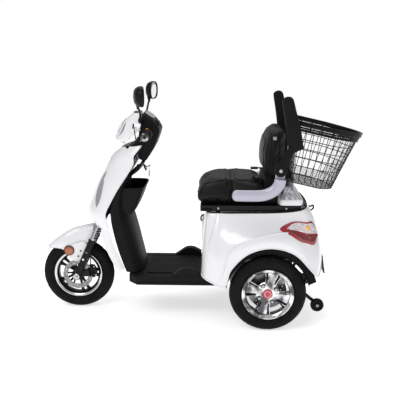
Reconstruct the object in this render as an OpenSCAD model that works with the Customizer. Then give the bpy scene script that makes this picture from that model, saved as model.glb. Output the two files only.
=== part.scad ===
// Three-wheeled electric mobility scooter with a padded armchair seat and a rear basket.
// X runs rearwards, Y to the rider's right and Z up. Shapes are laid out from the front axle,
// with heights above the axles, and stand() puts the origin on the floor under the middle.

/* [Wheels] */
// Distance between the front and the rear axle
wheelbase = 1062; // [850:1:1350]
// Distance between the middles of the two rear tyres
rear_track = 620; // [560:1:760]
// Outside diameter of the tyres
tyre_d = 406; // [330:1:440]
// Width of the tyres
tyre_w = 76; // [60:1:90]
// Diameter of the tyre's seat on the rim
rim_seat_d = 254; // [200:1:270]
// Diameter of the front axle
axle_d = 15; // [12:0.5:20]
// Diameter of the rear drive shafts
shaft_d = 25; // [20:0.5:30]
// Radial gap between a shaft and its hole
running_gap = 0.05; // [0.02:0.01:0.1]
// Diameter of the front brake disc
disc_d = 170; // [140:1:190]
// Diameter of the rear brake discs
rear_disc_d = 208; // [170:1:212]
// Diameter of the caps on the rear hubs
cap_d = 52; // [40:1:56]
// Radius of the circle that the wheel nuts stand on
nut_ring_r = 50; // [46:1:60]

/* [Steering] */
// Angle of the steering axis from the vertical
rake = 24.4; // [15:0.1:30]
// Diameter of the steering stem
stem_d = 34; // [28:0.5:40]
// Distance between the two fork legs
fork_w = 140; // [130:1:170]
// Diameter of the fork's inner tubes
stanchion_d = 26; // [22:0.5:30]
// Length of the fork springs as ridden
spring_len = 128; // [90:1:140]
// Travel of the fork from its ride height to its bump stop
fork_travel = 45; // [30:1:50]
// Overall width of the handlebar
bar_w = 660; // [560:1:760]
// Diameter of the handlebar tube
bar_d = 22; // [20:0.5:25]
// Diameter of the grips
grip_d = 36; // [30:0.5:40]
// Length of the grips
grip_len = 116; // [100:1:130]
// Height of the mirror heads
mirror_h = 104; // [80:1:130]
// Width of the mirror heads
mirror_w = 120; // [90:1:150]

/* [Body] */
// Wall thickness of the moulded panels
skin = 3.5; // [2:0.5:5]
// Half the width of the front shield
shield_half = 195; // [170:1:230]
// Half the width of the floor
floor_half = 217; // [180:1:240]
// Height of the floor's side
floor_h = 51; // [42:1:60]
// Half the width of the rear body at the wheel arches
body_half = 340; // [300:1:420]
// Gap between the rear tyre and the arch liner
liner_gap = 12; // [8:1:20]

/* [Seat] */
// Half the width of the seat cushion
seat_half = 232; // [190:1:240]
// Thickness of the seat cushion
cushion_t = 124; // [100:1:180]
// Height of the backrest above the cushion
back_h = 301; // [220:1:380]
// Half the width of the backrest
back_half = 205; // [160:1:215]
// Thickness of the armrest tubes from side to side
arm_tube_w = 40; // [30:1:46]
// Height of the oval armrest tubes
arm_tube_h = 60; // [44:1:70]
// Diameter of the armrest pivot pins
arm_pin_d = 16; // [12:0.5:20]
// Length of the armrest pads
arm_pad_len = 262; // [200:1:300]

/* [Basket] */
// Half the width of the basket at its rim
basket_half = 195; // [150:1:225]
// Depth of the basket from its floor to its rim
basket_h = 330; // [200:1:360]
// Backward lean of the basket
basket_lean = 13; // [0:1:20]
// Height of the plastic rim band
rim_band = 52; // [30:1:70]

/* [Hidden] */
$fn = 48;
tyre_r = tyre_d / 2;
seat_r = rim_seat_d / 2;
half_track = rear_track / 2;
flange_r = seat_r + 11;
bar_x = 429;
bar_z = 822;
bar_pitch = -29.1;
bar_end = bar_w / 2;
grip_in = bar_end - grip_len;
spring_bottom = 232;
crown_s = spring_bottom + spring_len + 4;
bore_bottom = 40;
rear = wheelbase;
seat_z = 452;
seat_base_z = 420;
cushion_top = seat_z + cushion_t;
back_z = cushion_top - 22;
back_bar_z = back_z + 20;
arm_y = seat_half + 15 + arm_tube_w / 2;
arm_pivot = [rear + 55, 0, seat_z + 196];
basket_at = [rear + 122, 0, seat_z + 112];
basket_tip = 320;
tip_x = rear + 277;
tip_z = -101;
tip_r = 36;
tip_y = 218;
arch_x = rear + 14;
arch_z = 12;
arch_r = tyre_r + 38;
rim_rear = basket_at[0] + basket_tip * cos(basket_lean) + basket_h * sin(basket_lean);
overall_mid = (rim_rear - tyre_r) / 2;
sheet_gap = 1;

// ---- Helpers ----

module stand() { translate([-overall_mid, 0, tyre_r]) children(); }
module both_sides() {
    children();
    mirror([0, 1, 0]) children();
}
// A cylinder along Y from y0 to y1 at x, z
module bar_y(x, z, r, y0, y1) {
    translate([x, y0, z]) rotate([-90, 0, 0]) cylinder(r = r, h = y1 - y0);
}
// A round rod between two points
module rod(a, b, r) {
    d = b - a;
    translate(a) rotate([0, acos(d[2] / norm(d)), atan2(d[1], d[0])]) cylinder(r = r, h = norm(d));
}
// Rods through a list of points, with a weld ball a little wider than the rod at each bend
module rods(points, r) {
    for (i = [0 : len(points) - 2]) rod(points[i], points[i + 1], r);
    for (i = [1 : len(points) - 2]) translate(points[i]) sphere(r = r + 0.8);
}
// A plate of t whose outline stands in the XZ plane, running outwards to the left from y
module side_plate(y, t) { translate([0, -y, 0]) rotate([90, 0, 0]) linear_extrude(t) children(); }
function on_axis(s, y = 0) = [s * sin(rake), y, s * cos(rake)];
// Places children on the steering axis, s up from the front axle, with Z along the axis
module on_fork(s, y = 0) { translate(on_axis(s, y)) rotate([0, rake, 0]) children(); }
module on_bar() { translate([bar_x, 0, bar_z]) rotate([0, bar_pitch, 0]) children(); }

function clamp_i(i, n) = min(max(i, 0), n - 1);
function entry(list, i) = list[clamp_i(i, len(list))];
function spline(a, b, c, d, t) =
    0.5 * (2 * b + (c - a) * t + (2 * a - 5 * b + 4 * c - d) * t * t + (3 * b - a - 3 * c + d) * t * t * t);
// A smooth run through every row of a list, with n steps from one row to the next
function smooth(rows, n) = let (m = len(rows)) concat(
    [for (i = [0 : m - 2]) for (k = [0 : n - 1])
        spline(rows[clamp_i(i - 1, m)], rows[i], rows[i + 1], rows[clamp_i(i + 2, m)], k / n)],
    [rows[m - 1]]);
function at(g, i, j) = g[clamp_i(i, len(g))][clamp_i(j, len(g[0]))];
function unit(v) = v / max(norm(v), 0.000001);
function facing(g, i, j) = unit(cross(at(g, i + 1, j) - at(g, i - 1, j), at(g, i, j + 1) - at(g, i, j - 1)));
function raised(g, t) = [for (i = [0 : len(g) - 1])
    [for (j = [0 : len(g[0]) - 1]) g[i][j] + t * facing(g, i, j)]];
function part_of(g, i0, i1, j0, j1) = [for (i = [i0 : i1]) [for (j = [j0 : j1]) g[i][j]]];
function flat(g) = [for (row = g) each row];
function backwards(row) = [for (k = [len(row) - 1 : -1 : 0]) row[k]];
// A moulded panel: a grid of points on its outside, and the same grid moved inwards by t.
// Seen from outside, its columns run to the left of its rows, or to the right if t is negative.
module panel(g, t) {
    if (t > 0) sheet(g, t);
    else sheet([for (row = g) backwards(row)], -t);
}
module sheet(g, t) {
    m = len(g);
    n = len(g[0]);
    k = m * n;
    polyhedron(points = concat(flat(g), flat(raised(g, -t))), faces = concat(
        [for (i = [0 : m - 2]) for (j = [0 : n - 2]) let (a = i * n + j) each
            [[a, a + n + 1, a + n], [a, a + 1, a + n + 1],
                [k + a, k + a + n, k + a + n + 1], [k + a, k + a + n + 1, k + a + 1]]],
        [for (i = [0 : m - 2]) let (a = i * n, b = i * n + n - 1) each
            [[a, a + n, k + a + n], [a, k + a + n, k + a], [b, k + b, k + b + n], [b, k + b + n, b + n]]],
        [for (j = [0 : n - 2]) let (a = j, b = (m - 1) * n + j) each
            [[a, k + a, k + a + 1], [a, k + a + 1, a + 1], [b, b + 1, k + b + 1], [b, k + b + 1, k + b]]]));
}
// A closed body through rings of points that run anticlockwise about the way that they are stacked
module loft(rings) {
    m = len(rings);
    n = len(rings[0]);
    function middle(ring) = [for (c = [0 : 2]) [for (p = ring) p[c]] * [for (p = ring) 1] / n];
    polyhedron(points = concat(flat(rings), [middle(rings[0]), middle(rings[m - 1])]), faces = concat(
        [for (i = [0 : m - 2]) for (j = [0 : n - 1]) let (a = i * n + j, b = i * n + (j + 1) % n) each
            [[a, b + n, b], [a, a + n, b + n]]],
        [for (j = [0 : n - 1]) [m * n, j, (j + 1) % n]],
        [for (j = [0 : n - 1]) [m * n + 1, (m - 1) * n + (j + 1) % n, (m - 1) * n + j]]));
}
function s_pow(v, e) = sign(v) * pow(abs(v), e);
// A rounded ring in the YZ plane, stacked along X
function ring_x(x, half, z0, z1, e = 0.5, n = 24) = [for (k = [0 : n - 1]) let (a = 360 * k / n)
    [x, half * s_pow(cos(a), e), (z0 + z1) / 2 + (z1 - z0) / 2 * s_pow(sin(a), e)]];
// A rounded ring in the XY plane, stacked along Z
function ring_z(z, x0, x1, half, e = 0.5, n = 24) = [for (k = [0 : n - 1]) let (a = 360 * k / n)
    [(x0 + x1) / 2 + (x1 - x0) / 2 * s_pow(cos(a), e), half * s_pow(sin(a), e), z]];
// A curved row from the left edge round the middle to the right edge: middle [x, z], edge [x, y, z]
function wrap_row(mx, mz, ex, ey, ez, e, n) = [for (k = [-n : n]) let (a = 90 * k / n)
    [mx + (ex - mx) * (1 - pow(cos(a), e)), ey * s_pow(sin(a), e), mz + (ez - mz) * abs(k / n)]];

// ---- Frame and floor ----

rail_y = 100;
rail_z = 22;
deck_x0 = 312;
deck_x1 = rear - 270;
rear_rail_z = 130;
head_tube_s = crown_s + 26;
head_tube_h = 150;
// Places of the posts that the seat rests on
post_xs = [rear - 262, rear + 95];
// The seat tips forwards on pins at its front edge
hinge_x = rear - 350;
hinge_z = seat_base_z + 4;
hinge_r = 4;
hinge_y = 70;
hinge_t = 12;
module frame() color([0.1, 0.1, 0.1]) difference() {
    union() {
        on_fork(head_tube_s) cylinder(d = stem_d + 18, h = head_tube_h);
        rods([on_axis(head_tube_s + head_tube_h / 2), [278, 0, 180], [330, 0, rail_z], [380, 0, rail_z]], 19);
        bar_y(380, rail_z, 14.5, -rail_y, rail_y);
        both_sides() rods([[380, -rail_y, rail_z], [rear - 362, -rail_y, rail_z],
            [rear - 280, -rail_y, rear_rail_z], [rear + 225, -rail_y, rear_rail_z]], 14);
        for (x = post_xs) {
            both_sides() rod([x, -rail_y, rear_rail_z], [x, -rail_y, seat_base_z], 12);
            bar_y(x, seat_base_z - 26, 12.6, -rail_y - 20, rail_y + 20);
        }
        bar_y(rear + 215, rear_rail_z, 13, -rail_y, rail_y);
        both_sides() translate([rear - 20, -rail_y - 8, 30]) cube([40, 16, rear_rail_z - 30]);
        both_sides() rods([[rear + 205, -rail_y, rear_rail_z], [rear + 225, -tip_y + 24, 60],
            [rear + 190, -tip_y + 24, -30]], 9);
        both_sides() side_plate(hinge_y - hinge_t / 2, hinge_t) polygon([
            [rear - 272, seat_base_z - 34], [rear - 272, seat_base_z - 16], [rear - 318, seat_base_z + 14],
            [hinge_x, hinge_z + 9], [hinge_x - 7, hinge_z], [hinge_x, hinge_z - 7], [rear - 308, hinge_z - 6],
            [rear - 288, seat_base_z - 34]]);
    }
    on_fork(head_tube_s - 10) cylinder(r = stem_d / 2 + running_gap, h = head_tube_h + 20);
    bar_y(hinge_x, hinge_z, hinge_r + running_gap, -rail_y, rail_y);
}
function deck(inset) = let (corner = deck_x0 + 45 + inset / 2, edge = floor_half - inset) [
    [corner, -edge], [deck_x1 - inset, -edge], [deck_x1 - inset, edge], [corner, edge],
    [deck_x0 + inset, floor_half - 50], [deck_x0 + inset, -floor_half + 50]];
module floor_pan() color([0.06, 0.06, 0.06]) {
    difference() {
        linear_extrude(floor_h) polygon(deck(0));
        translate([0, 0, -1]) linear_extrude(floor_h - 4) polygon(deck(5));
    }
    both_sides() translate([rear, 0, floor_h]) side_plate(floor_half - 47, 45)
        polygon([[-520, 0], [-495, 16], [-450, 44], [-405, 44], [-362, 22], [-362, 0]]);
}
module floor_mat() color([0.09, 0.09, 0.09]) translate([0, 0, floor_h + 0.3]) difference() {
    linear_extrude(4) polygon([[deck_x0 + 96, -floor_half + 60], [rear - 380, -floor_half + 60],
        [rear - 380, floor_half - 60], [deck_x0 + 96, floor_half - 60]]);
    for (x = [deck_x0 + 110 : 24 : rear - 395]) translate([x, -floor_half + 75, 2.5])
        cube([8, 2 * floor_half - 150, 2]);
}

// ---- Front shield, legshield and lamps ----

// Middle x, middle z, edge x, edge share of the half width, edge z, from the top down
shield_rows = smooth([
    [264, 728, 395, 0.80, 758], [233, 700, 350, 0.86, 702], [198, 655, 348, 0.89, 662],
    [165, 592, 320, 0.92, 612], [130, 530, 262, 0.94, 524], [98, 458, 222, 0.96, 452],
    [70, 390, 194, 0.97, 392], [76, 345, 200, 0.98, 346], [108, 304, 213, 0.98, 306]], 3);
// Below the last row but one the shield is arched, to leave the fork its room
lip_from = len(shield_rows) - 4;
function lip_share(t) = max(0.08, min(1, (abs(t) - 0.34) / 0.2));
function shield_row(r, n) = wrap_row(r[0], r[1], r[2], r[3] * shield_half, r[4], 1.1, n);
function lip_row(r, n) = let (full = shield_row(r, n), above = shield_row(shield_rows[lip_from], n))
    [for (k = [0 : 2 * n]) above[k] + (full[k] - above[k]) * lip_share((k - n) / n)];
function shield_grid(n) = [for (i = [0 : len(shield_rows) - 1])
    i > lip_from ? lip_row(shield_rows[i], n) : shield_row(shield_rows[i], n)];
// Front x, front share of the half width, rear x and z of the strips beside the front wheel
leg_rows = smooth([[162, 0.84, 213, 302, 302], [185, 0.94, 229, 212, 238], [224, 0.99, 262, 126, 160],
    [262, 1.02, 293, 72, 88]], 2);
function leg_point(r, t) = [r[0] + (r[2] - r[0]) * t,
    -shield_half * r[1] - 6 * sin(180 * t) + (r[1] - 0.99) * shield_half * t, r[3] + (r[4] - r[3]) * t];
module shield_leg() panel([for (r = leg_rows) [for (k = [0 : 4]) leg_point(r, k / 4)]], -skin);
module front_shield() color([0.93, 0.93, 0.95]) {
    panel(shield_grid(7), -skin);
    both_sides() shield_leg();
}
module side_lamps() color([0.5, 0.5, 0.53]) both_sides()
    panel(raised(part_of(shield_grid(10), 9, 17, 3, 6), -sheet_gap - 3), -3);

// Middle x, edge x and edge share of the half width, from the top down, with the height
leg_shield_rows = smooth([
    [394, 362, 0.62, 652], [374, 350, 0.76, 616], [318, 296, 0.84, 570], [298, 252, 0.87, 500],
    [298, 222, 0.89, 420], [322, 222, 0.90, 350], [345, 236, 0.90, 270], [368, 262, 0.91, 170],
    [392, 300, 0.92, 62]], 2);
pocket = [272, 150, 400, 380, 525];
module leg_shield() color([0.07, 0.07, 0.07]) {
    panel([for (r = leg_shield_rows) wrap_row(r[0], r[3], r[1], r[2] * shield_half, r[3], 0.7, 6)], -skin);
    translate([pocket[0], -pocket[1], pocket[2]]) difference() {
        cube([pocket[3] - pocket[0], 2 * pocket[1], pocket[4] - pocket[2]]);
        translate([4, 4, 4]) cube([pocket[3] - pocket[0] - 8, 2 * pocket[1] - 8, pocket[4] - pocket[2]]);
    }
}
lock_at = [385, 40, 606];
lock_tilt = 68;
module on_lock() { translate(lock_at) rotate([0, lock_tilt, 0]) children(); }
module ignition_lock() color([0.3, 0.3, 0.3]) on_lock() difference() {
    translate([0, 0, -2]) cylinder(d = 30, h = 12);
    translate([0, 0, 2]) cylinder(r = 7.2, h = 12);
}
module ignition_key() color([0.1, 0.1, 0.1]) {
    on_lock() translate([0, 0, 3]) {
        cylinder(r = 7.15, h = 9);
        translate([-2, -11, 9]) cube([4, 22, 22]);
    }
    on_lock() translate([0, 0, 27]) rotate([0, -lock_tilt, 0]) {
        translate([0, 0, -13]) rotate([0, 90, 0]) rotate_extrude() translate([13, 0]) circle(r = 1.1);
        translate([-2, -9, -62]) cube([4, 18, 37]);
    }
}

// ---- Rear body ----

// Perimeter stations from the middle of the front round the left side to the middle of the tail.
// Each holds its top, shoulder, waist and hem, measured from the rear axle.
function arch_pt(a, dx = 0) = [arch_x - rear + arch_r * cos(a) + dx, -body_half, arch_z + arch_r * sin(a)];
side = -body_half;
body_stations = smooth([
    [[-322, 0, 412], [-336, 0, 398], [-348, 0, 250], [-352, 0, 68]],
    [[-320, -130, 412], [-334, -140, 398], [-347, -160, 250], [-351, -150, 68]],
    [[-304, -222, 412], [-320, -236, 396], [-340, -258, 250], [-346, -268, 75]],
    [[-262, -240, 413], [-268, -256, 394], [-296, side + 24, 230], [-300, side + 18, 60]],
    [[-240, -242, 414], [-244, -258, 392], [-256, side + 5, 210], [arch_pt(175)[0], side, 40]],
    [[-200, -242, 414], [-200, -260, 388], [-215, side + 1, 240], arch_pt(150)],
    [[-130, -242, 415], [-130, -260, 384], [-135, side, 275], arch_pt(120)],
    [[0, -243, 417], [0, -262, 380], [0, side, 305], arch_pt(90)],
    [[100, -243, 422], [110, -262, 378], [120, side + 2, 285], arch_pt(60)],
    [[160, -240, 430], [180, -262, 378], [205, side + 14, 235], arch_pt(30)],
    [[186, -226, 436], [222, -245, 378], [262, side + 42, 215], [258, side + 30, 92]],
    [[204, -185, 438], [246, -205, 378], [288, -222, 205], [284, -230, 92]],
    [[214, -95, 438], [256, -105, 370], [301, -112, 198], [306, -112, 92]],
    [[218, 0, 438], [258, 0, 368], [305, 0, 195], [312, 0, 92]]], 2);
function body_column(s) = smooth(s, 3);
body_left = [for (s = body_stations) [for (p = body_column(s)) p + [rear, 0, 0]]];
function flip_y(row) = [for (p = row) [p[0], -p[1], p[2]]];
body_grid = concat(body_left, [for (i = [len(body_left) - 2 : -1 : 1]) flip_y(body_left[i])], [body_left[0]]);
module rear_body() color([0.93, 0.93, 0.95])
    loop_panel([for (i = [0 : len(body_grid) - 2]) body_grid[i]], skin);
// A panel whose rows close on themselves, like a hoop
function loop_facing(g, i, j) = let (m = len(g))
    unit(cross(g[(i + 1) % m][j] - g[(i + m - 1) % m][j], at(g, i, j + 1) - at(g, i, j - 1)));
module loop_panel(g, t) {
    m = len(g);
    n = len(g[0]);
    k = m * n;
    inner = [for (i = [0 : m - 1]) for (j = [0 : n - 1]) g[i][j] - t * loop_facing(g, i, j)];
    polyhedron(points = concat(flat(g), inner), faces = concat(
        [for (i = [0 : m - 1]) for (j = [0 : n - 2]) let (a = i * n + j, b = ((i + 1) % m) * n + j) each
            [[a, b + 1, b], [a, a + 1, b + 1], [k + a, k + b, k + b + 1], [k + a, k + b + 1, k + a + 1]]],
        [for (i = [0 : m - 1]) let (a = i * n, b = ((i + 1) % m) * n, c = a + n - 1, d = b + n - 1) each
            [[a, b, k + b], [a, k + b, k + a], [c, k + c, k + d], [c, k + d, d]]]));
}
liner_r = tyre_r + liner_gap;
module wheel_liners() color([0.05, 0.05, 0.05]) both_sides() intersection() {
    difference() {
        bar_y(rear, 0, liner_r + 4, -body_half + 6, -half_track + tyre_w / 2 + 12);
        bar_y(rear, 0, liner_r, -body_half - 1, -half_track + tyre_w / 2 + 13);
    }
    translate([rear - liner_r - 10, -body_half, 60]) cube([2 * liner_r + 20, 120, liner_r]);
}
// The lamps follow the body's tail corner, a sheet gap outside it
lamp_grid = part_of(body_left, 17, 22, 4, 7);
module tail_lamps() color([0.55, 0.02, 0.04]) both_sides() panel(raised(lamp_grid, sheet_gap + 9), 9);
module rear_plate() color([0.15, 0.15, 0.15]) translate([rear + 334, -70, 20]) rotate([0, -9, 0]) difference() {
    cube([5, 140, 118]);
    for (y = [20, 120]) translate([-1, y, 100]) rotate([0, 90, 0]) cylinder(r = 3, h = 7);
}

// ---- Drive ----

module battery_pack() color([0.2, 0.2, 0.22])
    for (i = [0 : 4]) translate([rear - 232 + 62 * i, -84, rear_rail_z + 24]) cube([60, 168, 150]);
tube_out = half_track - tyre_w / 2 - 22;
module transaxle() color([0.35, 0.35, 0.37]) difference() {
    union() {
        bar_y(rear, 0, shaft_d / 2 + 12, -tube_out, tube_out);
        bar_y(rear, 0, 74, -52, 52);
        translate([rear - 10, 10, 20]) rotate([0, -100, 0]) cylinder(r = 58, h = 190);
    }
    bar_y(rear, 0, shaft_d / 2 + running_gap, -tube_out - 1, tube_out + 1);
}
module drive_hub() {
    bar_y(rear, 0, shaft_d / 2, -half_track - 12, -30);
    bar_y(rear, 0, rear_disc_d / 2, -tube_out - 14, -tube_out - 9);
    bar_y(rear, 0, nut_ring_r + 11, -half_track + 2, -tube_out - 9);
    for (k = [0 : 3]) rotate_about_rear(k * 90 + spoke_turn + 45) translate([nut_ring_r, 0, 0]) {
        bar_y(rear, 0, 5, -half_track - 16, -half_track + 2);
        translate([rear, -half_track - 6, 0]) rotate([90, 0, 0]) cylinder(r = 9, h = 8, $fn = 6);
    }
}
module rotate_about_rear(a) { translate([rear, 0, 0]) rotate([0, a, 0]) translate([-rear, 0, 0]) children(); }
module left_drive_hub() color([0.55, 0.55, 0.57]) drive_hub();
module right_drive_hub() color([0.55, 0.55, 0.57]) mirror([0, 1, 0]) drive_hub();
module rear_calipers() color([0.5, 0.5, 0.52]) both_sides()
    translate([rear, -tube_out - 22, 0]) rotate([0, 30, 0]) difference() {
        union() {
            translate([rear_disc_d / 2 - 28, 0, -26]) cube([40, 21, 52]);
            translate([shaft_d / 2 + 6, 19, -14]) cube([rear_disc_d / 2 - 28, 8, 28]);
        }
        translate([rear_disc_d / 2 - 40, 6.5, -60]) cube([44, 8, 120]);
        translate([0, 30, 0]) rotate([90, 0, 0]) cylinder(r = shaft_d / 2 + 12, h = 60);
    }
module anti_tip_arms() color([0.08, 0.08, 0.08]) both_sides() difference() {
    union() {
        rod([rear + 188, -tip_y + 24, -30], [tip_x, -tip_y + 24, tip_z], 9.5);
        bar_y(tip_x, tip_z, 11, -tip_y + 15, -tip_y + 33);
        bar_y(tip_x, tip_z, 5, -tip_y - 16, -tip_y + 16);
    }
    rod([rear + 188, -tip_y + 24, -30] + [2, 0, 4], [rear + 188, -tip_y + 24, -30] + [-20, 0, 60], 9.6);
}
module tip_wheel() difference() {
    bar_y(tip_x, tip_z, tip_r, -tip_y - 12, -tip_y + 12);
    bar_y(tip_x, tip_z, 5 + running_gap, -tip_y - 13, -tip_y + 13);
}
module left_tip_wheel() color([0.1, 0.1, 0.1]) tip_wheel();
module right_tip_wheel() color([0.1, 0.1, 0.1]) mirror([0, 1, 0]) tip_wheel();

// ---- Wheels, each about the Y axis through the origin ----

rim_half = tyre_w / 2 - 6;
well_r = seat_r - 14;
spoke_turn = 15;
module tyre() rotate([90, 0, 0]) rotate_extrude($fn = 96) difference() {
    translate([tyre_r - tyre_w / 2, 0]) circle(d = tyre_w);
    translate([tyre_r - tyre_w / 2 - 1, 0]) circle(d = tyre_w - 14);
    translate([0, -tyre_w]) square([seat_r, 2 * tyre_w]);
    translate([0, rim_half - 6]) square([flange_r + 0.6, 20]);
    translate([0, -rim_half - 14]) square([flange_r + 0.6, 20]);
}
module barrel() rotate([90, 0, 0]) rotate_extrude($fn = 96) polygon([
    [seat_r - 9, 20 - rim_half], [seat_r, 14 - rim_half], [seat_r, 6 - rim_half], [flange_r, 5.4 - rim_half],
    [flange_r, -rim_half], [well_r + 9, 1 - rim_half], [well_r, 20 - rim_half], [well_r, rim_half - 20],
    [well_r + 9, rim_half - 1], [flange_r, rim_half], [flange_r, rim_half - 5.4], [seat_r, rim_half - 6],
    [seat_r, rim_half - 14], [seat_r - 9, rim_half - 20]]);
module front_rim() color([0.1, 0.1, 0.1]) difference() {
    union() {
        barrel();
        bar_y(0, 0, 30, -34, 34);
        for (k = [0 : 4]) rotate([0, 72 * k, 0]) for (s = [-1, 1]) rotate([0, 9 * s, 0])
            translate([20, -9, -6]) cube([well_r - 17, 18, 12]);
    }
    bar_y(0, 0, axle_d / 2 + running_gap, -40, 40);
}
module rear_rim() translate([rear, -half_track, 0]) {
    difference() {
        union() {
            barrel();
            bar_y(0, 0, nut_ring_r + 12, -6, 1.5);
            bar_y(0, 0, 30, -16, 0);
            for (k = [0 : 3]) rotate([0, 90 * k + spoke_turn, 0]) side_plate(-1, 16)
                polygon([[20, -17], [well_r + 3, -33], [well_r + 3, 33], [20, 17]]);
        }
        bar_y(0, 0, shaft_d / 2, -40, 40);
        for (k = [0 : 3]) rotate([0, 90 * k + spoke_turn + 45, 0]) bar_y(nut_ring_r, 0, 5, -40, 40);
    }
}
module wheel_cap() bar_y(rear, 0, cap_d / 2, -half_track - 24, -half_track - 16);
module front_tyre() color([0.05, 0.05, 0.05]) tyre();
module left_rear_tyre() color([0.05, 0.05, 0.05]) translate([rear, -half_track, 0]) tyre();
module right_rear_tyre() color([0.05, 0.05, 0.05]) translate([rear, half_track, 0]) tyre();
module left_rear_rim() color([0.8, 0.8, 0.82]) rear_rim();
module right_rear_rim() color([0.8, 0.8, 0.82]) mirror([0, 1, 0]) rear_rim();
module left_wheel_cap() color([0.75, 0.05, 0.08]) wheel_cap();
module right_wheel_cap() color([0.75, 0.05, 0.08]) mirror([0, 1, 0]) wheel_cap();
module front_disc() color([0.6, 0.6, 0.62]) difference() {
    bar_y(0, 0, disc_d / 2, -42, -38.5);
    bar_y(0, 0, 16, -43, -38);
    for (k = [0 : 11]) rotate([0, 30 * k, 0]) bar_y(disc_d / 2 - 14, 0, 4, -43, -38);
    for (k = [0 : 5]) rotate([0, 60 * k, 0]) bar_y(42, 0, 11, -43, -38);
}

// ---- Fork ----

lower_d = stanchion_d + 12;
module fork_lowers() color([0.07, 0.07, 0.07]) difference() {
    union() for (y = [-fork_w / 2, fork_w / 2]) {
        on_fork(-14, y) cylinder(d = lower_d, h = spring_bottom + 14);
        bar_y(0, 0, 22, y - lower_d / 2, y + lower_d / 2);
    }
    for (y = [-fork_w / 2, fork_w / 2]) on_fork(bore_bottom, y)
        cylinder(r = stanchion_d / 2 + running_gap, h = spring_bottom);
    bar_y(0, 0, axle_d / 2, -fork_w, fork_w);
}
module fork_springs() color([0.6, 0.6, 0.62])
    for (y = [-fork_w / 2, fork_w / 2]) on_fork(spring_bottom + 1, y) difference() {
        union() {
            cylinder(d = lower_d - 4, h = spring_len + 2);
            for (k = [0 : 8]) translate([0, 0, 6 + (spring_len - 10) * k / 8]) cylinder(d = lower_d, h = 4);
        }
        translate([0, 0, -1]) cylinder(r = stanchion_d / 2 + 1, h = spring_len + 10);
    }
module front_axle() color([0.7, 0.7, 0.72]) {
    bar_y(0, 0, axle_d / 2, -fork_w / 2 - lower_d / 2 - 10, fork_w / 2 + lower_d / 2 + 10);
    for (y = [-fork_w / 2 - lower_d / 2 - 9, fork_w / 2 + lower_d / 2]) translate([0, y, 0]) rotate([-90, 0, 0])
        difference() {
            cylinder(r = 13, h = 9, $fn = 6);
            translate([0, 0, -1]) cylinder(d = axle_d, h = 11);
        }
}
module front_caliper() color([0.12, 0.12, 0.12]) translate([0, -50, 0]) rotate([0, -12, 0]) difference() {
    union() {
        translate([disc_d / 2 - 26, 0, -24]) cube([52, 19, 58]);
        translate([16, -16, -10]) cube([disc_d / 2 + 6, 15, 24]);
        translate([disc_d / 2 - 26, -5, -10]) cube([30, 8, 24]);
    }
    translate([0, 5, -90]) cube([disc_d / 2 + 2, 9, 180]);
    translate([0, -20, 0]) rotate([-90, 0, 0]) cylinder(r = 22.5, h = 30);
    rotate([0, 12, 0]) translate([0, 50 - fork_w / 2, 0]) rotate([0, rake, 0]) translate([0, 0, -30])
        cylinder(d = lower_d + 0.6, h = 160);
}
// Middle x, middle z, edge x, half width and edge z along the fender, as distances beyond the tyre
fender_rows = smooth([[-168, 162, -160, 34, 150], [-131, 197, -126, 52, 160], [-66, 240, -68, 56, 148],
    [-25, 262, -28, 52, 90], [16, 274, 8, 47.5, 98], [60, 284, 56, 47.5, 185], [100, 290, 96, 46, 235]], 2);
// Wrapped in the plane across the wheel, then stood up so that its rows run from front to rear
function fender_row(r) = [for (p = wrap_row(r[1], r[0], r[4], r[3] + tyre_w / 2 - 38, r[2], 0.62, 7))
    [p[2], p[1], p[0]]];
module front_fender() color([0.93, 0.93, 0.95]) scale([tyre_r / 203, 1, tyre_r / 203])
    panel([for (r = fender_rows) fender_row(r)], -skin);
module front_reflectors() color([0.9, 0.4, 0.05]) both_sides() bar_y(-41, 146, 27, -64, -60);

// ---- Steering head ----

crown_r = stanchion_d / 2 + 6;
crown_t = 18;
// The inner tubes end just above the closed bottom of the lowers at full travel
stanchion_bottom = bore_bottom + fork_travel + 6;
stem_top_s = 807;
module steering_column() color([0.5, 0.5, 0.52]) {
    on_fork(crown_s) {
        cylinder(d = stem_d, h = stem_top_s - crown_s - 1);
        translate([-crown_r, -fork_w / 2, 0]) cube([2 * crown_r, fork_w, crown_t]);
        for (y = [-fork_w / 2, fork_w / 2]) translate([0, y, 0]) cylinder(r = crown_r, h = crown_t);
    }
    for (y = [-fork_w / 2, fork_w / 2]) on_fork(stanchion_bottom, y)
        cylinder(d = stanchion_d, h = crown_s + crown_t / 2 - stanchion_bottom);
}
stem_top = on_axis(stem_top_s);
module handlebar() color([0.15, 0.15, 0.15]) {
    bar_y(bar_x, bar_z, bar_d / 2, -bar_end + 4, bar_end - 4);
    rod(stem_top + [4, 0, 4], [bar_x, 0, bar_z], 14);
    on_fork(stem_top_s) cylinder(d = stem_d + 12, h = 12);
}
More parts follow.
